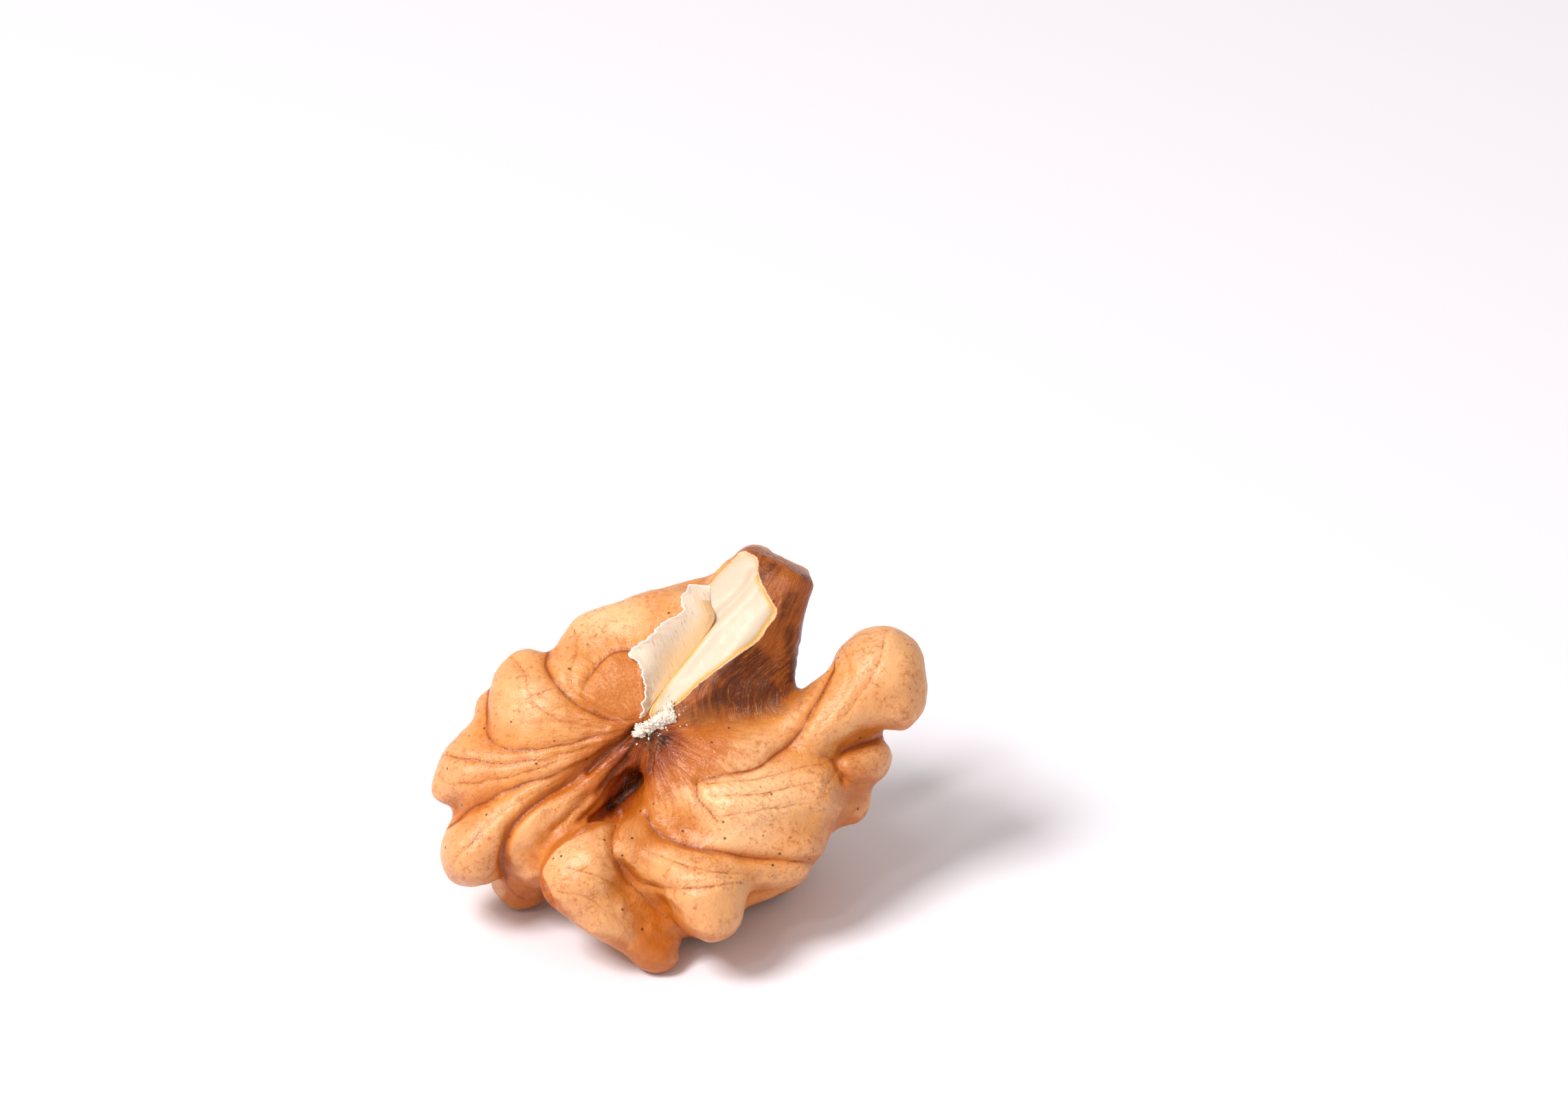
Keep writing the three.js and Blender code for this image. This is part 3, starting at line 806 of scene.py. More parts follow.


# ---------------------------------------------------------------------------------------------
# The kernel

# The creases of the inner face: path, depth, half width, lip, half the vein's width, stain and painted
# shade.
CREASES = [
    # Round the boss, and the folds of the left lobe from the top down.
    ([(-1.2, 5.9), (-3.0, 5.5), (-4.3, 4.2), (-4.6, 3.1), (-4.3, 2.1), (-3.0, 1.3)], 0.1, 0.22, 0.04, 0.1),
    ([(-7.1, 5.9), (-7.2, 4.9), (-6.7, 3.8), (-4.9, 2.1), (-3.0, 1.3), (-1.2, 1.3)], 0.14, 0.26, 0.04, 0.13),
    (
        [(-11.1, 3.6), (-11.2, 1.4), (-10.9, -0.1), (-9.3, -0.7), (-6.7, -0.5), (-4.2, 0.1), (-1.6, 0.8)],
        0.1, 0.25, 0.03, 0.11,
    ),
    (
        [(-13.7, -5.9), (-11.4, -4.2), (-8.4, -2.9), (-6.0, -2.1), (-3.9, -1.0), (-1.6, 0.5)],
        0.14, 0.26, 0.04, 0.12,
    ),
    (
        [(-10.0, -9.3), (-10.1, -7.9), (-9.4, -5.8), (-8.0, -4.4), (-6.0, -3.1), (-3.0, -0.7), (-0.9, 0.8)],
        0.3, 0.32, 0.08, 0.15, (0.35, 0.5),
    ),
    ([(-6.9, 3.3), (-9.0, 2.6), (-10.4, 2.9)], 0.05, 0.25, 0.03, 0.05),
    ([(-13.6, -1.2), (-10.6, -1.6), (-7.4, -1.3), (-4.2, -0.4)], 0.1, 0.25, 0.04, 0.08),
    # The cleft between the lobes, below the pit, with painted shade along it.
    (
        [(-0.8, -2.6), (-2.1, -3.8), (-3.5, -5.1), (-5.8, -6.6), (-7.1, -7.8), (-7.5, -9.2), (-6.7, -10.8)],
        0.5, 0.35, 0.05, 0.0, (0.5, 0.9),
    ),
    # The right lobe.
    ([(11.9, 4.5), (10.7, 2.3), (9.5, 0.2), (8.4, -0.8), (6.3, -2.0), (3.2, -2.6)], 0.16, 0.26, 0.05, 0.12),
    ([(15.9, 0.2), (13.9, -0.3), (12.6, -0.9), (12.2, -1.7), (12.5, -2.6)], 0.25, 0.3, 0.06, 0.12),
    (
        [(-0.5, -4.9), (0.0, -5.8), (1.4, -6.7), (4.9, -7.5), (8.4, -7.9), (10.8, -8.3)],
        0.2, 0.28, 0.06, 0.13,
    ),
    ([(-2.3, -5.1), (-2.7, -6.5), (-2.4, -8.1), (-0.9, -10.2), (1.6, -12.4)], 0.16, 0.26, 0.05, 0.1),
    ([(-2.1, -8.1), (-0.7, -9.4), (1.6, -9.7), (3.9, -9.5)], 0.18, 0.3, 0.05, 0.09),
    ([(2.85, -2.7), (2.95, -3.8), (3.6, -4.6), (4.2, -5.3)], 0.14, 0.25, 0.04, 0.09),
    ([(12.2, -1.7), (11.4, -1.2), (10.4, -1.2)], 0.08, 0.22, 0.03, 0.05),
    ([(12.3, -1.9), (11.5, -2.8), (11.2, -4.0)], 0.08, 0.22, 0.03, 0.05),
    ([(12.5, -2.6), (13.4, -3.0), (14.4, -2.9)], 0.08, 0.22, 0.03, 0.05),
    # Cracks and folds close to the middle.
    ([(-1.3, 0.7), (-2.3, -0.4), (-3.4, -1.3), (-4.4, -2.2)], 0.3, 0.16, 0.04, 0.14, (0.8, 0.22)),
    ([(0.2, 0.0), (-0.1, -1.1), (-0.2, -2.2)], 0.25, 0.14, 0.03, 0.12, (1.0, 0.18)),
    ([(-1.0, 0.0), (-1.8, -1.2), (-2.6, -2.2), (-3.8, -3.6)], 0.2, 0.16, 0.04, 0.08, (0.4, 0.25)),
    ([(-0.3, -0.2), (-0.8, -1.4), (-1.1, -2.0)], 0.16, 0.14, 0.03, 0.07),
    ([(0.8, 0.0), (1.1, -1.4), (1.5, -2.6)], 0.1, 0.2, 0.03, 0.0),
    ([(1.2, 0.3), (2.4, -0.6), (4.0, -1.3)], 0.1, 0.2, 0.03, 0.0),
    ([(-1.9, -1.4), (-3.4, -3.0), (-5.2, -4.6), (-6.6, -6.0)], 0.16, 0.22, 0.05, 0.06),
    ([(-2.6, -2.6), (-3.8, -4.2), (-5.0, -5.4)], 0.14, 0.2, 0.05, 0.05),
    # Faint veins of both lobes.
    ([(3.6, -2.9), (6.5, -2.6), (9.2, -2.0), (11.0, -1.6)], 0.06, 0.2, 0.03, 0.055),
    ([(4.0, -3.6), (6.8, -3.6), (9.4, -3.0), (10.6, -2.9)], 0.06, 0.2, 0.03, 0.05),
    ([(4.6, -5.0), (7.2, -4.6), (9.8, -4.2)], 0.06, 0.2, 0.03, 0.05),
    ([(-13.2, -3.0), (-10.0, -2.6), (-6.8, -1.6), (-3.8, -0.5)], 0.08, 0.22, 0.03, 0.055),
    ([(-12.6, -7.4), (-10.6, -5.2), (-8.0, -3.6), (-5.2, -2.0)], 0.08, 0.22, 0.03, 0.055),
    ([(-9.6, 5.4), (-8.6, 4.2), (-8.0, 2.4), (-6.0, 1.2), (-3.4, 0.7)], 0.07, 0.22, 0.03, 0.055),
    ([(-5.4, 7.2), (-5.2, 5.8), (-5.6, 4.4), (-5.2, 3.2)], 0.06, 0.22, 0.03, 0.055),
    ([(-5.6, -8.3), (-3.6, -8.9), (-1.6, -10.2)], 0.06, 0.22, 0.03, 0.055),
    ([(-6.2, -9.9), (-4.2, -10.4), (-2.6, -11.6)], 0.06, 0.22, 0.03, 0.05),
    ([(0.0, -7.4), (2.2, -8.2), (4.6, -8.6), (7.2, -8.9)], 0.07, 0.22, 0.03, 0.055),
    ([(12.6, 6.0), (13.0, 4.4), (12.2, 2.4), (11.0, 0.8)], 0.06, 0.22, 0.03, 0.05),
    ([(15.4, 7.4), (15.0, 5.4), (14.0, 3.4), (12.6, 1.6)], 0.06, 0.22, 0.03, 0.05),
    # A ridge, not a crease, along the lowest fold.
    ([(-2.1, -11.1), (-0.7, -11.9), (0.3, -12.8), (1.2, -13.4), (2.6, -13.9)], -0.3, 0.55, 0.0, 0.0),
]

# Outlines and lines on the inner face, across and up.
FLESH = [
    (6.0, 12.5), (6.8, 12.0), (6.9, 10.9), (7.5, 9.6), (8.1, 8.4), (7.5, 7.4), (6.8, 6.4), (5.6, 5.6),
    (3.2, 3.9), (1.4, 2.2), (0.0, 1.4), (-0.2, 2.1), (0.7, 3.7), (2.3, 5.7), (3.7, 7.9), (3.4, 9.0),
    (3.3, 10.0), (3.9, 11.1), (5.0, 12.0),
]
FLESH_SEAM = [(6.7, 11.0), (6.0, 9.8), (3.8, 7.7), (1.9, 5.5), (0.2, 3.6), (-0.2, 2.8), (-0.8, 1.3)]
RIGHT_OF_SEAM = [(1.0, 0.0), (9.0, 4.0), (10.0, 10.0)]
BOSS = [
    (-0.8, 5.9), (-2.6, 5.6), (-4.0, 4.4), (-4.4, 3.1), (-4.1, 2.2), (-2.8, 1.3), (-1.0, 1.2), (-0.6, 3.0),
    (-0.8, 5.9),
]
STUMP_SIDE = [
    (4.2, 14.4), (11.8, 12.4), (11.4, 7.0), (10.4, 3.4), (8.6, 1.8), (5.4, 1.2), (3.0, 1.4), (1.0, 1.6),
    (1.6, 3.9), (4.2, 5.6), (5.4, 7.4), (5.8, 9.6), (5.2, 11.2), (5.2, 12.0),
]

# Where the coat is stained amber, and where painted light makes it pale. Some stain spots are painted shade,
# not stain: in the pit, under the lowest fold, under both knobs and below the rim.
STAINS_AND_SHADE: list[Spot] = [
    (-0.5, -0.6, 2.4, 2.4, 0.55),
    (0.3, 0.1, 1.3, 0.7, 0.6),
    (-2.6, -4.4, 1.1, 0.8, 0.45),
    (-1.7, -3.2, 1.4, 1.5, 0.3),
    (2.0, -0.6, 4.4, 2.4, 0.38),
    (-3.2, -2.4, 3.6, 2.8, 0.4),
    (0.2, -13.8, 2.8, 1.9, 0.4),
    (13.4, -3.0, 1.8, 2.4, 0.3),
    (11.6, -7.0, 2.0, 2.6, 0.2),
    (0.8, -11.6, 3.0, 1.0, 0.2),
    (6.2, 3.4, 2.8, 2.4, 0.3),
    (-0.6, -6.8, 1.6, 1.8, 0.28),
    (-8.6, -10.8, 1.8, 1.3, 0.5),
]
# Painted light: paler patches where the light falls most strongly on the lobes.
PAINTED_LIGHT_SPOTS: list[Spot] = [
    (6.4, -3.4, 4.2, 1.9, 1.0),
    (5.6, -6.4, 3.6, 1.3, 0.7),
    (-3.4, 8.0, 3.4, 1.8, 0.8),
    (-8.6, 2.6, 2.6, 2.0, 0.5),
    (7.4, -0.2, 2.6, 1.4, 0.4),
    (-5.6, -7.6, 1.4, 1.6, 0.6),
    (15.2, 5.6, 1.8, 2.2, 0.5),
    (3.4, -9.2, 2.4, 1.0, 0.5),
]


@dataclass
class KernelHalf:
    """The kernel half itself, as a fine sculpted copy of its solid.

    Attributes:
        node: the CAD node that it stands for.
        net_mm: the spacing of the fine mesh.
        creases: the creases of the inner face.
        fold_hub: where the fine fibres run out from, across and up.
        skin_mm: how far the bare flesh lies below the coat.
        surface: the fine surface, once it is read.
        veins: its veins.
        marks: what the finish reads at each vertex, by name.
    """

    node: str = "kernel_half"
    net_mm: float = 0.15
    creases: list[Crease] = field(default_factory=lambda: [Crease(*row) for row in CREASES])
    fold_hub: tuple[float, float] = (-0.4, 0.6)
    skin_mm: float = 0.16
    surface: Surface | None = None
    veins: VeinNet | None = None
    marks: dict[str, np.ndarray] = field(default_factory=dict)

    def copy_solid(self, nodes: dict[str, bpy.types.Object]) -> bpy.types.Object:
        """Copies the CAD node's mesh, merges its corners, and gives it a fine even net.

        Args:
            nodes: the CAD nodes by name.

        Returns:
            The copy, in millimetres.
        """
        mesh = nodes[self.node].data.copy()
        mesh.materials.clear()
        fine = bmesh.new()
        fine.from_mesh(mesh)
        bmesh.ops.scale(fine, vec=(1 / MM,) * 3, verts=fine.verts)
        bmesh.ops.remove_doubles(fine, verts=fine.verts, dist=1e-4)
        fine.to_mesh(mesh)
        fine.free()
        piece = bpy.data.objects.new("kernel_skin_and_flesh", mesh)
        bpy.context.scene.collection.objects.link(piece)
        only(piece)
        net = piece.modifiers.new("fine_net", "REMESH")
        net.mode = "VOXEL"
        net.voxel_size = self.net_mm
        bpy.ops.object.modifier_apply(modifier=net.name)
        return piece

    def read_surface(self, piece: bpy.types.Object) -> None:
        """Takes the fine mesh of a piece into arrays."""
        mesh = piece.data
        place = np.zeros(len(mesh.vertices) * 3)
        mesh.vertices.foreach_get("co", place)
        edges = np.zeros(len(mesh.edges) * 2, int)
        mesh.edges.foreach_get("vertices", edges)
        corners = np.zeros(len(mesh.loops), int)
        mesh.loops.foreach_get("vertex_index", corners)
        self.surface = Surface(place.reshape(-1, 3), edges.reshape(-1, 2), corners.reshape(-1, 4).tolist())

    def soften(self) -> None:
        """Rounds off the solid's facets, and gives back the bulk that the rounding takes."""
        s = self.surface
        s.place = s.blur(s.place, 26)
        wide = s.blur(s.place, 60)
        s.place = s.place + 0.35 * (s.place - wide)

    def cut_creases(self, front: np.ndarray) -> np.ndarray:
        """Works out how the creases move the surface.

        Args:
            front: how much each vertex belongs to the inner face.

        Returns:
            How far each vertex moves outwards.
        """
        s = self.surface
        tree = s.tree()
        self.veins = VeinNet(self.creases)
        push = np.zeros(len(s.place))
        loose = drift(s.place, 1.5, 0.14)
        worn = 0.85 + 0.5 * wavy(s.place, 1.7, 1, 6.0)
        for crease in self.creases:
            points = self.veins.lay_on(crease.path, tree)
            away, _ = strand_reach([Strand(points, np.ones(len(points)))], loose)
            push -= front * worn * crease.depth * bell(away, crease.width)
            push += front * crease.lip * bell(away, 1.3 * crease.width, 2.4 * crease.width)
        return push

    def sculpt(self) -> None:
        """Cuts the creases, the middle's fibres, the flesh and the fine relief of the skin."""
        s = self.surface
        normals = s.normals()
        outwards = normals @ FACE.axes()[2]
        face = FACE.from_part(s.place)
        front = fade(outwards, 0.0, 0.35) * fade(face[:, 2], -9.0, -6.0)
        push = self.cut_creases(front)

        flesh = inside_distance(face[:, :2], smooth_path([*FLESH, FLESH[0]], 0.3)[:-1])
        flesh = np.where((face[:, 2] > -4.0) & (outwards > 0.05), flesh, -3.0)
        torn = fade(flesh, 0.0, 0.16)

        # Low swellings, wrinkles and fine grain, which the smooth flesh hasn't got.
        lumps = wavy(s.place, 3.4, 2, 1.0)
        wrinkles = wavy(s.place, 1.1, 3, 2.0)
        push += (1 - torn) * (0.15 * lumps + 0.055 * wrinkles)

        # Fibres that run out from the middle of the face.
        from_hub = face[:, :2] - self.fold_hub
        radius = np.linalg.norm(from_hub, axis=1)
        angle = np.arctan2(from_hub[:, 1], from_hub[:, 0]) - math.radians(62)
        angle = np.mod(angle, 2 * math.pi) + 0.05 * wavy(s.place, 2.6, 2, 5.0)
        grain = np.stack([angle * 9.0, np.log(radius + 0.6) * 1.6, face[:, 2] * 0.15], axis=1)
        near = fade(radius, 10.0, 1.0) * front
        push += (1 - torn) * near * 0.09 * wavy(grain, 1.0, 3, 3.0)

        # The stump's side has coarse fibres along it, which turn outwards at its foot.
        edge = inside_distance(face[:, :2], np.array(STUMP_SIDE))
        stump = fade(edge + 0.4 * lumps, -0.9, 1.1) * (1 - torn) * fade(face[:, 2], -8.0, -4.0)
        turn = np.radians(24 - 30 * fade(face[:, 1], 6.5, 2.5))
        across = face[:, 0] * np.cos(turn) - face[:, 1] * np.sin(turn)
        along = face[:, 0] * np.sin(turn) + face[:, 1] * np.cos(turn)
        fibre = np.stack([across / 0.3, along / 3.0, face[:, 2] / 0.6], axis=1)
        push += stump * 0.05 * wavy(fibre, 1.0, 2, 4.0)

        # The flesh lies a skin's thickness lower. Its right facet stands above its left one.
        push -= self.skin_mm * torn
        right = inside_distance(face[:, :2], np.vstack([smooth_path(FLESH_SEAM, 0.3), RIGHT_OF_SEAM]))
        # The flesh's upper left facet, which the finish paints in shade.
        facet = torn * fade(right, 0.1, -0.2)
        push += torn * (0.22 * bell(right, 0.5, 0.45) - 0.3 * bell(right, 0.35, -0.15))
        push += torn * 0.14 * wavy(s.place, 2.6, 1, 8.0)

        s.place = s.place + normals * push[:, None]
        s.place[:, 2] = np.maximum(s.place[:, 2], 0.0)
        boss = inside_distance(face[:, :2], smooth_path(BOSS, 0.3)[:-1])
        self.marks.update(flesh=flesh, facet=facet, stump=stump, grain=grain, fibre=fibre)
        self.marks["boss"] = fade(boss, -0.4, 0.6) * front * (1 - torn)
        self.marks["radial"] = fade(radius, 12.0, 2.0) * front * (0.45 + 0.3 * near) * (1 - stump)

    def mark(self) -> None:
        """Works out what else the skin's finish needs to know at every vertex."""
        s = self.surface
        normals = s.normals()
        face = FACE.from_part(s.place)
        tree = s.tree()
        self.veins.grow(tree)
        loose = drift(s.place, 1.5, 0.14)
        for rank in Rank:
            away, width = strand_reach([v for v in self.veins.strands if v.rank is rank], loose)
            self.marks[rank.value] = np.minimum(away / width, 9.0)
        # How deep each vertex lies in a hollow, narrowly and broadly; from these the finish paints shade in
        # the hollows and light on the ridges.
        for name, rounds in (("hollow", 30), ("broad_hollow_shade", 260)):
            pulled = s.blur(s.place, rounds) - s.place
            self.marks[name] = s.blur((pulled * normals).sum(axis=1), 2)

        front = fade(normals @ FACE.axes()[2], -0.2, 0.3) * fade(face[:, 2], -8.0, -5.0)
        stain_and_shade, painted_light = np.zeros(len(face)), np.zeros(len(face))
        for total, spots in ((stain_and_shade, STAINS_AND_SHADE), (painted_light, PAINTED_LIGHT_SPOTS)):
            for across, up, wide, high, amount in spots:
                reach = np.hypot((face[:, 0] - across) / wide, (face[:, 1] - up) / high)
                total += amount * bell(reach, 1.0)
        for crease in [c for c in self.creases if c.stain_and_shade]:
            line = self.veins.lay_on(crease.path, tree)
            away, _ = strand_reach([Strand(line, np.ones(len(line)))], s.place)
            amount, width = crease.stain_and_shade
            stain_and_shade += amount * bell(away, width)
        # Painted shade: surfaces that face down are darkened through the stain mark.
        underside_shade = fade(normals[:, 2], 0.1, -0.5)
        self.marks["painted_light"] = painted_light * front
        self.marks["stain_and_shade"] = stain_and_shade * front + 0.22 * underside_shade

    def write(self, piece: bpy.types.Object) -> None:
        """Puts the sculpted surface and its marks back on the piece, in metres."""
        mesh = piece.data
        mesh.vertices.foreach_set("co", (self.surface.place * MM).ravel())
        for name, values in self.marks.items():
            write_layer(mesh, name, values)
        mesh.update()
        only(piece)
        bpy.ops.object.shade_smooth()

    def build(self, nodes: dict[str, bpy.types.Object], finish: SeedCoat) -> bpy.types.Object:
        """Makes the dressed kernel.

        Args:
            nodes: the CAD nodes by name.
            finish: the skin's finish.

        Returns:
            The finished piece.
        """
        piece = self.copy_solid(nodes)
        self.read_surface(piece)
        self.soften()
        self.sculpt()
        self.mark()
        self.write(piece)
        piece.data.materials.append(finish.make())
        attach(piece, "root")
        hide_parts(self.node)
        return piece


@dataclass
class PeeledFlap:
    """The skin that peeled off the bridge: held along one edge, torn and curled at the other.

    Attributes:
        held_edge: where it is still held, across and up.
        free_edge: its torn edge.
        curl: how far the torn edge stands off.
        ragged: how far the torn edge wanders.
        thickness: how thick the dry skin is.
        rows: how many points it has along its edges.
        columns: how many points it has from edge to edge.
    """

    held_edge: Path = field(
        default_factory=lambda: [
            (-0.6, 1.5), (-0.05, 2.4), (0.95, 3.7), (2.5, 5.6), (3.95, 7.8), (3.7, 9.0), (3.7, 10.15),
        ]
    )
    free_edge: Path = field(
        default_factory=lambda: [
            (-1.0, 1.4), (-0.6, 2.7), (-0.65, 3.6), (-0.8, 4.4), (-1.25, 5.2), (-1.75, 5.75), (-0.5, 6.65),
            (0.35, 7.5), (0.9, 7.9), (1.8, 8.5), (1.85, 9.5), (2.2, 10.25),
        ]
    )
    curl: float = 0.6
    ragged: float = 0.2
    thickness: float = 0.08
    rows: int = 220
    columns: int = 30

    def even(self, path: Path) -> np.ndarray:
        """The path as evenly spaced points, one for each row."""
        dense = smooth_path(path, 0.05)
        far = np.concatenate([[0], np.cumsum(np.linalg.norm(np.diff(dense, axis=0), axis=1))])
        at = np.linspace(0, far[-1], self.rows)
        return np.column_stack([np.interp(at, far, dense[:, 0]), np.interp(at, far, dense[:, 1])])

    def spot(self, held: np.ndarray, free: np.ndarray, s: float, t: float) -> np.ndarray:
        """Where one point of the flap lies over the face.

        Args:
            held: the held edge's points.
            free: the torn edge's points.
            s: how far along the edges, 0 to 1.
            t: how far from the held edge to the torn one, 0 to 1.

        Returns:
            Across and up.
        """
        row = s * (self.rows - 1)
        low = min(int(row), self.rows - 2)
        a = held[low] * (1 - row + low) + held[low + 1] * (row - low)
        b = free[low] * (1 - row + low) + free[low + 1] * (row - low)
        wander = noise.fractal(Vector((s * 22, 0.3, self.curl)), 0.7, 2.2, 4)
        way = (b - a) / (np.linalg.norm(b - a) + 0.05)
        ripple = np.array([0.05, -0.03]) * math.sin(s * 40) * t * (1 - t)
        return a * (1 - t) + b * t + way * self.ragged * wander * t**2 + ripple

    def lift(self, s: float, t: float) -> float:
        """How far one point stands off the kernel.

        Args:
            s: how far along the edges, 0 to 1.
            t: how far from the held edge to the torn one, 0 to 1.

        Returns:
            The height in millimetres.
        """
        rise = max(0.0, (t - 0.35) / 0.65)
        ends = min(1.0, 6 * s + 0.25, 5 * (1 - s) + 0.4)
        roll = self.curl * (0.75 + 0.35 * math.sin(s * 11 + 1.0)) * rise**2 * ends
        return 0.03 + 0.1 * t + roll + 0.03 * noise.noise(Vector((s * 18, t * 4, 2.0))) * t

    def build(self, tree: BVHTree, finish: PeeledSkin) -> bpy.types.Object:
        """Makes the flap over the kernel's surface.

        Args:
            tree: the kernel's surface, in millimetres.
            finish: the flap's finish.

        Returns:
            The finished piece.
        """
        held, free = self.even(self.held_edge), self.even(self.free_edge)
        bpy.ops.object.select_all(action="DESELECT")
        counts = {"x_subdivisions": self.columns - 1, "y_subdivisions": self.rows - 1}
        bpy.ops.mesh.primitive_grid_add(size=1, **counts)
        piece = bpy.context.object
        piece.name = piece.data.name = "peeled_flap"
        mesh = piece.data
        spots, levels, lifts, torn = [], [], [], []
        for vertex in mesh.vertices:
            s, t = min(max(vertex.co.y + 0.5, 0), 1), min(max(vertex.co.x + 0.5, 0), 1)
            spot = self.spot(held, free, s, t)
            hit = tree.ray_cast(FACE.above(spot), FACE.inwards())[0]
            spots.append(spot)
            levels.append(FACE.from_part(np.array([hit]))[0][2] if hit else -1.0)
            lifts.append(self.lift(s, t))
            torn.append(max(t, 1 - 8 * (1 - s) * (0.4 + t)) if s > 0.9 else t)
        edges = np.array([e.vertices[:] for e in mesh.edges])
        levels = Surface(np.zeros((len(levels), 3)), edges).blur(np.array(levels), 25)
        spots = np.array(spots)
        world = FACE.to_part(np.column_stack([spots, levels + np.array(lifts)]))
        mesh.vertices.foreach_set("co", (world * MM).ravel())
        grain = [spots @ (0.94, 0.35) / 0.11, spots @ (0.35, -0.94) / 0.8, np.zeros(len(spots))]
        write_layer(mesh, "grain", np.column_stack(grain))
        write_layer(mesh, "torn", np.array(torn))
        mesh.update()
        wall = piece.modifiers.new("skin_thickness", "SOLIDIFY")
        wall.thickness = self.thickness * MM
        wall.offset = 0
        only(piece)
        bpy.ops.object.modifier_apply(modifier=wall.name)
        bpy.ops.object.mode_set(mode="EDIT")
        bpy.ops.mesh.select_all(action="SELECT")
        bpy.ops.mesh.normals_make_consistent(inside=False)
        bpy.ops.object.mode_set(mode="OBJECT")
        bpy.ops.object.shade_smooth()
        mesh.materials.append(finish.make())
        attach(piece, "root")
        return piece


@dataclass
class Crumbs:
    """Chalky crumbs of tissue at the foot of the break.

    Attributes:
        line: the line that they lie along, across and up.
        lumps: how many larger lumps there are.
        bits: how many small bits lie round them.
        seed: fixes every random choice.
    """

    line: Path = field(
        default_factory=lambda: [(-0.7, 0.6), (-0.3, 0.9), (0.4, 1.2), (0.9, 1.6), (1.4, 2.0)]
    )
    lumps: int = 26
    bits: int = 70
    seed: int = 5

    def chip(self, number: int, spot: Vector, normal: Vector, chance: random.Random) -> bpy.types.Object:
        """Makes one crumb: a ball, roughened, flattened and turned.

        Args:
            number: which crumb it is; the first ones are lumps.
            spot: where it lies, in millimetres.
            normal: the surface's direction there.
            chance: the source of its shape.

        Returns:
            The crumb.
        """
        lump = number < self.lumps
        size = chance.uniform(0.22, 0.4) if lump else chance.uniform(0.03, 0.09)
        bpy.ops.object.select_all(action="DESELECT")
        bpy.ops.mesh.primitive_ico_sphere_add(subdivisions=4 if lump else 2, radius=size * MM)
        chip = bpy.context.object
        shape = Vector((chance.uniform(0.6, 1.3), chance.uniform(0.5, 0.9), chance.uniform(0.4, 0.7)))
        twist = normal.to_track_quat("Z", "Y").to_matrix()
        spin = chance.uniform(0, 6.28)
        c, d = math.cos(spin), math.sin(spin)
        for vertex in chip.data.vertices:
            p = vertex.co / MM
            rough = noise.fractal(p * 4.5 + Vector((number * 3.1, 0, 0)), 0.6, 2.3, 4)
            p = p * (1 + 0.75 * rough) * shape
            p = Vector((p.x * c - p.y * d, p.x * d + p.y * c, p.z))
            vertex.co = (twist @ p + spot + normal * size * 0.2) * MM
        return chip

    def build(self, tree: BVHTree, finish: DryCrumb) -> bpy.types.Object:
        """Makes the crumbs on the kernel's surface.

        Args:
            tree: the kernel's surface, in millimetres.
            finish: the crumbs' finish.

        Returns:
            The finished piece.
        """
        chance = random.Random(self.seed)
        dense = smooth_path(self.line, 0.05)
        chips = []
        for k in range(self.lumps + self.bits):
            lump = k < self.lumps
            u, v = dense[int((k + 0.5) / self.lumps * len(dense))] if lump else chance.choice(dense)
            spread = 0.18 if lump else 0.5
            u, v = u + chance.gauss(0, spread), v + chance.gauss(0, spread)
            spot, normal, _, _ = tree.ray_cast(FACE.above((u, v)), FACE.inwards())
            if spot is not None:
                chips.append(self.chip(k, spot, normal, chance))
        bpy.ops.object.select_all(action="DESELECT")
        for chip in chips:
            chip.select_set(True)
        bpy.context.view_layer.objects.active = chips[0]
        bpy.ops.object.join()
        piece = bpy.context.object
        piece.name = piece.data.name = "crumbs"
        bpy.ops.object.shade_smooth()
        piece.data.materials.append(finish.make())
        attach(piece, "root")
        return piece


# ---------------------------------------------------------------------------------------------
# The studio


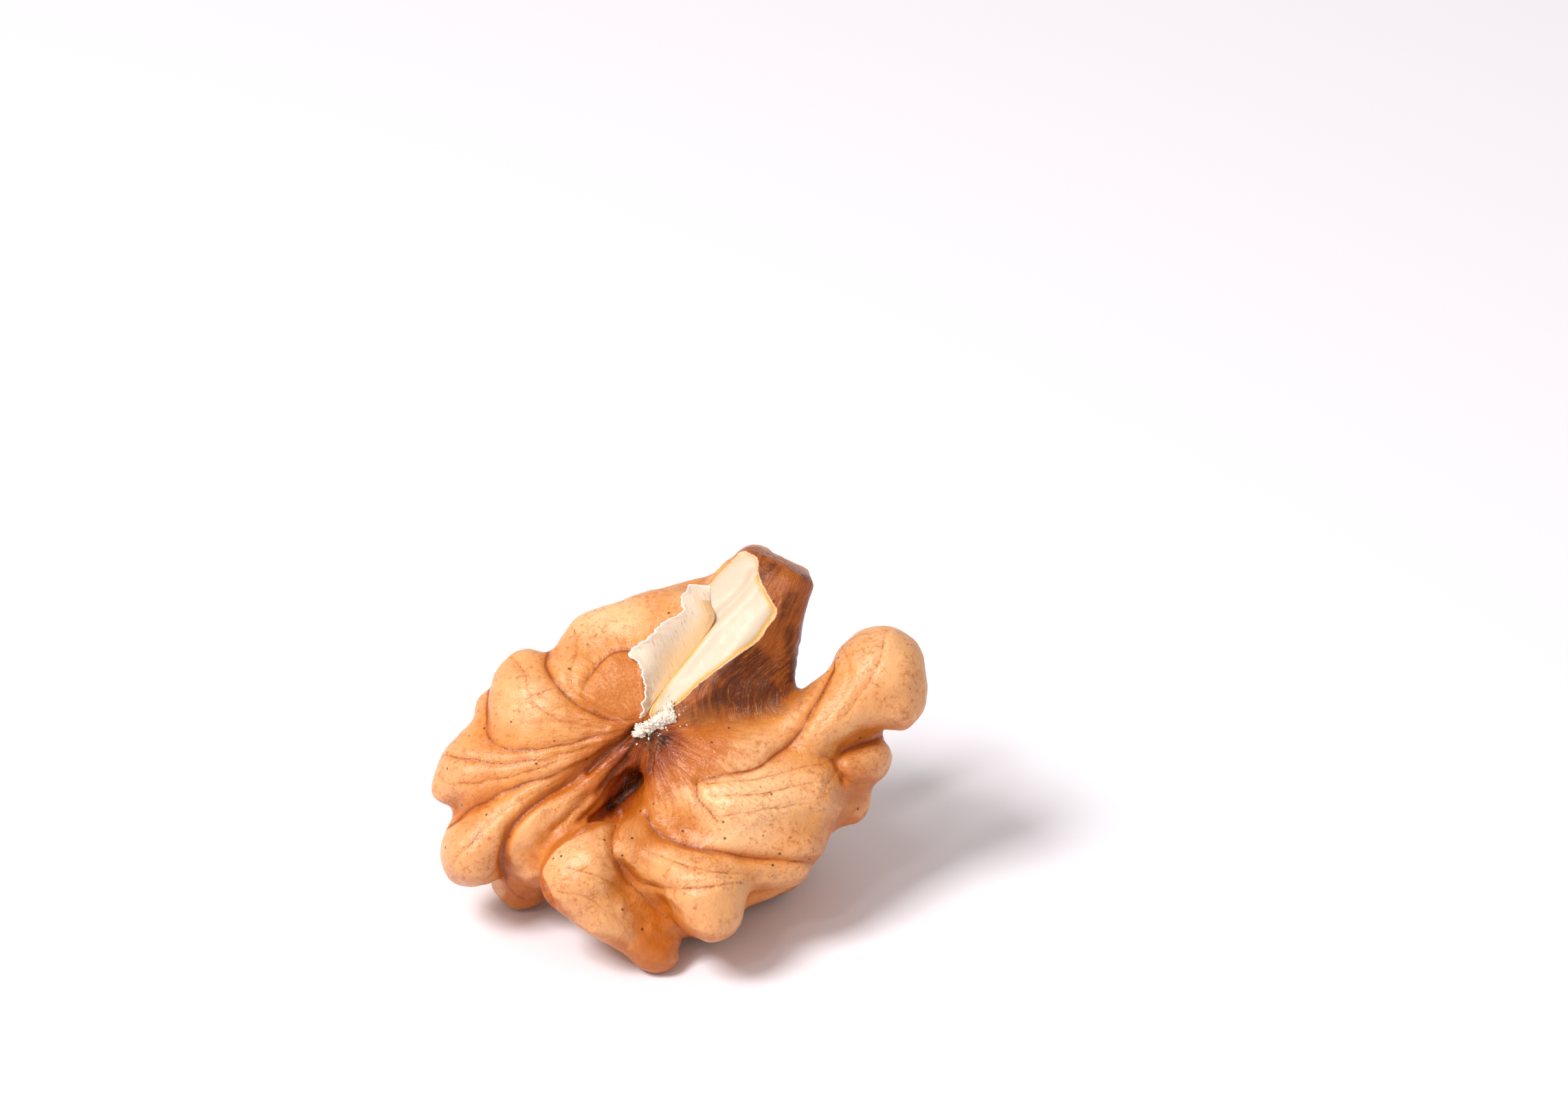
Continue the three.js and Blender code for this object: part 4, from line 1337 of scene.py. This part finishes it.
@dataclass
class Studio:
    """Pale paper, soft light from the upper left, and the camera.

    Attributes:
        frame_width: what the camera sees across, at the kernel.
        aim: the middle of the view, across and up the face.
        far: how far the camera stands off.
        sensor: the width of the camera's sensor.
        fill: how strong the soft light all round is.
    """

    frame_width: float = 103.7
    aim: tuple[float, float] = (8.6, 12.0)
    far: float = 450.0
    sensor: float = 36.0
    fill: float = 0.57

    def floor(self) -> bpy.types.Object:
        """Lays the paper.

        Returns:
            The sheet of paper.
        """
        bpy.ops.object.select_all(action="DESELECT")
        bpy.ops.mesh.primitive_plane_add(size=6.0, location=(0, 0, 0))
        paper = bpy.context.object
        paper.name = "paper"
        paper.data.materials.append(PalePaper().make())
        return paper

    def lamp(
        self, name: str, place: tuple[float, float, float], size: float, power: float, colour: str
    ) -> None:
        """Hangs one soft square lamp that looks at the kernel.

        Args:
            name: the lamp's name.
            place: where it hangs, in metres.
            size: the length of its side, in metres.
            power: in watts.
            colour: its light's colour.
        """
        lamp = bpy.data.lights.new(name, "AREA")
        lamp.shape = "SQUARE"
        lamp.size = size
        lamp.energy = power
        lamp.color = linear(colour)[:3]
        hung = bpy.data.objects.new(name, lamp)
        hung.location = place
        hung.rotation_euler = (-Vector(place)).to_track_quat("-Z", "Y").to_euler()
        bpy.context.scene.collection.objects.link(hung)

    def light(self) -> None:
        """Sets the lamps and the soft light all round."""
        self.lamp("window", (-0.26, -0.18, 0.46), 0.18, 2.9, "#fffaf4")
        self.lamp("bounce", (0.2, -0.5, 0.3), 0.5, 0.08, "#fff6ee")
        self.lamp("glint", (-0.2, -0.4, 0.5), 0.05, 0.25, "#ffffff")
        world = bpy.data.worlds.new("soft_room")
        world.use_nodes = True
        background = world.node_tree.nodes["Background"]
        background.inputs["Color"].default_value = linear("#fff6ee")
        background.inputs["Strength"].default_value = self.fill
        bpy.context.scene.world = world
        bpy.context.scene.view_settings.view_transform = "Standard"

    def camera(self) -> None:
        """Places the camera square to the kernel's face, with a long lens."""
        data = bpy.data.cameras.new("camera")
        data.sensor_width = self.sensor
        data.lens = self.sensor * self.far / self.frame_width
        camera = bpy.data.objects.new("camera", data)
        camera.location = Vector(FACE.to_part(np.array([[*self.aim, self.far]]))[0]) * MM
        camera.rotation_euler = FACE.inwards().to_track_quat("-Z", "Y").to_euler()
        bpy.context.scene.collection.objects.link(camera)
        bpy.context.scene.camera = camera


def main() -> None:
    """Builds the kernel, its loose bits and the studio, and logs their face counts."""
    logging.basicConfig(level=logging.INFO, format="%(name)s: %(message)s", stream=sys.stdout)
    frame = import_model()

    kernel = KernelHalf()
    piece = kernel.build(frame["nodes"], SeedCoat())
    log.info("%s: %d faces, %d veins", piece.name, len(piece.data.polygons), len(kernel.veins.strands))
    tree = kernel.surface.tree()
    for loose_bit in (PeeledFlap().build(tree, PeeledSkin()), Crumbs().build(tree, DryCrumb())):
        log.info("%s: %d faces", loose_bit.name, len(loose_bit.data.polygons))

    studio = Studio()
    studio.floor()
    studio.light()
    studio.camera()


if __name__ == "__main__":
    main()
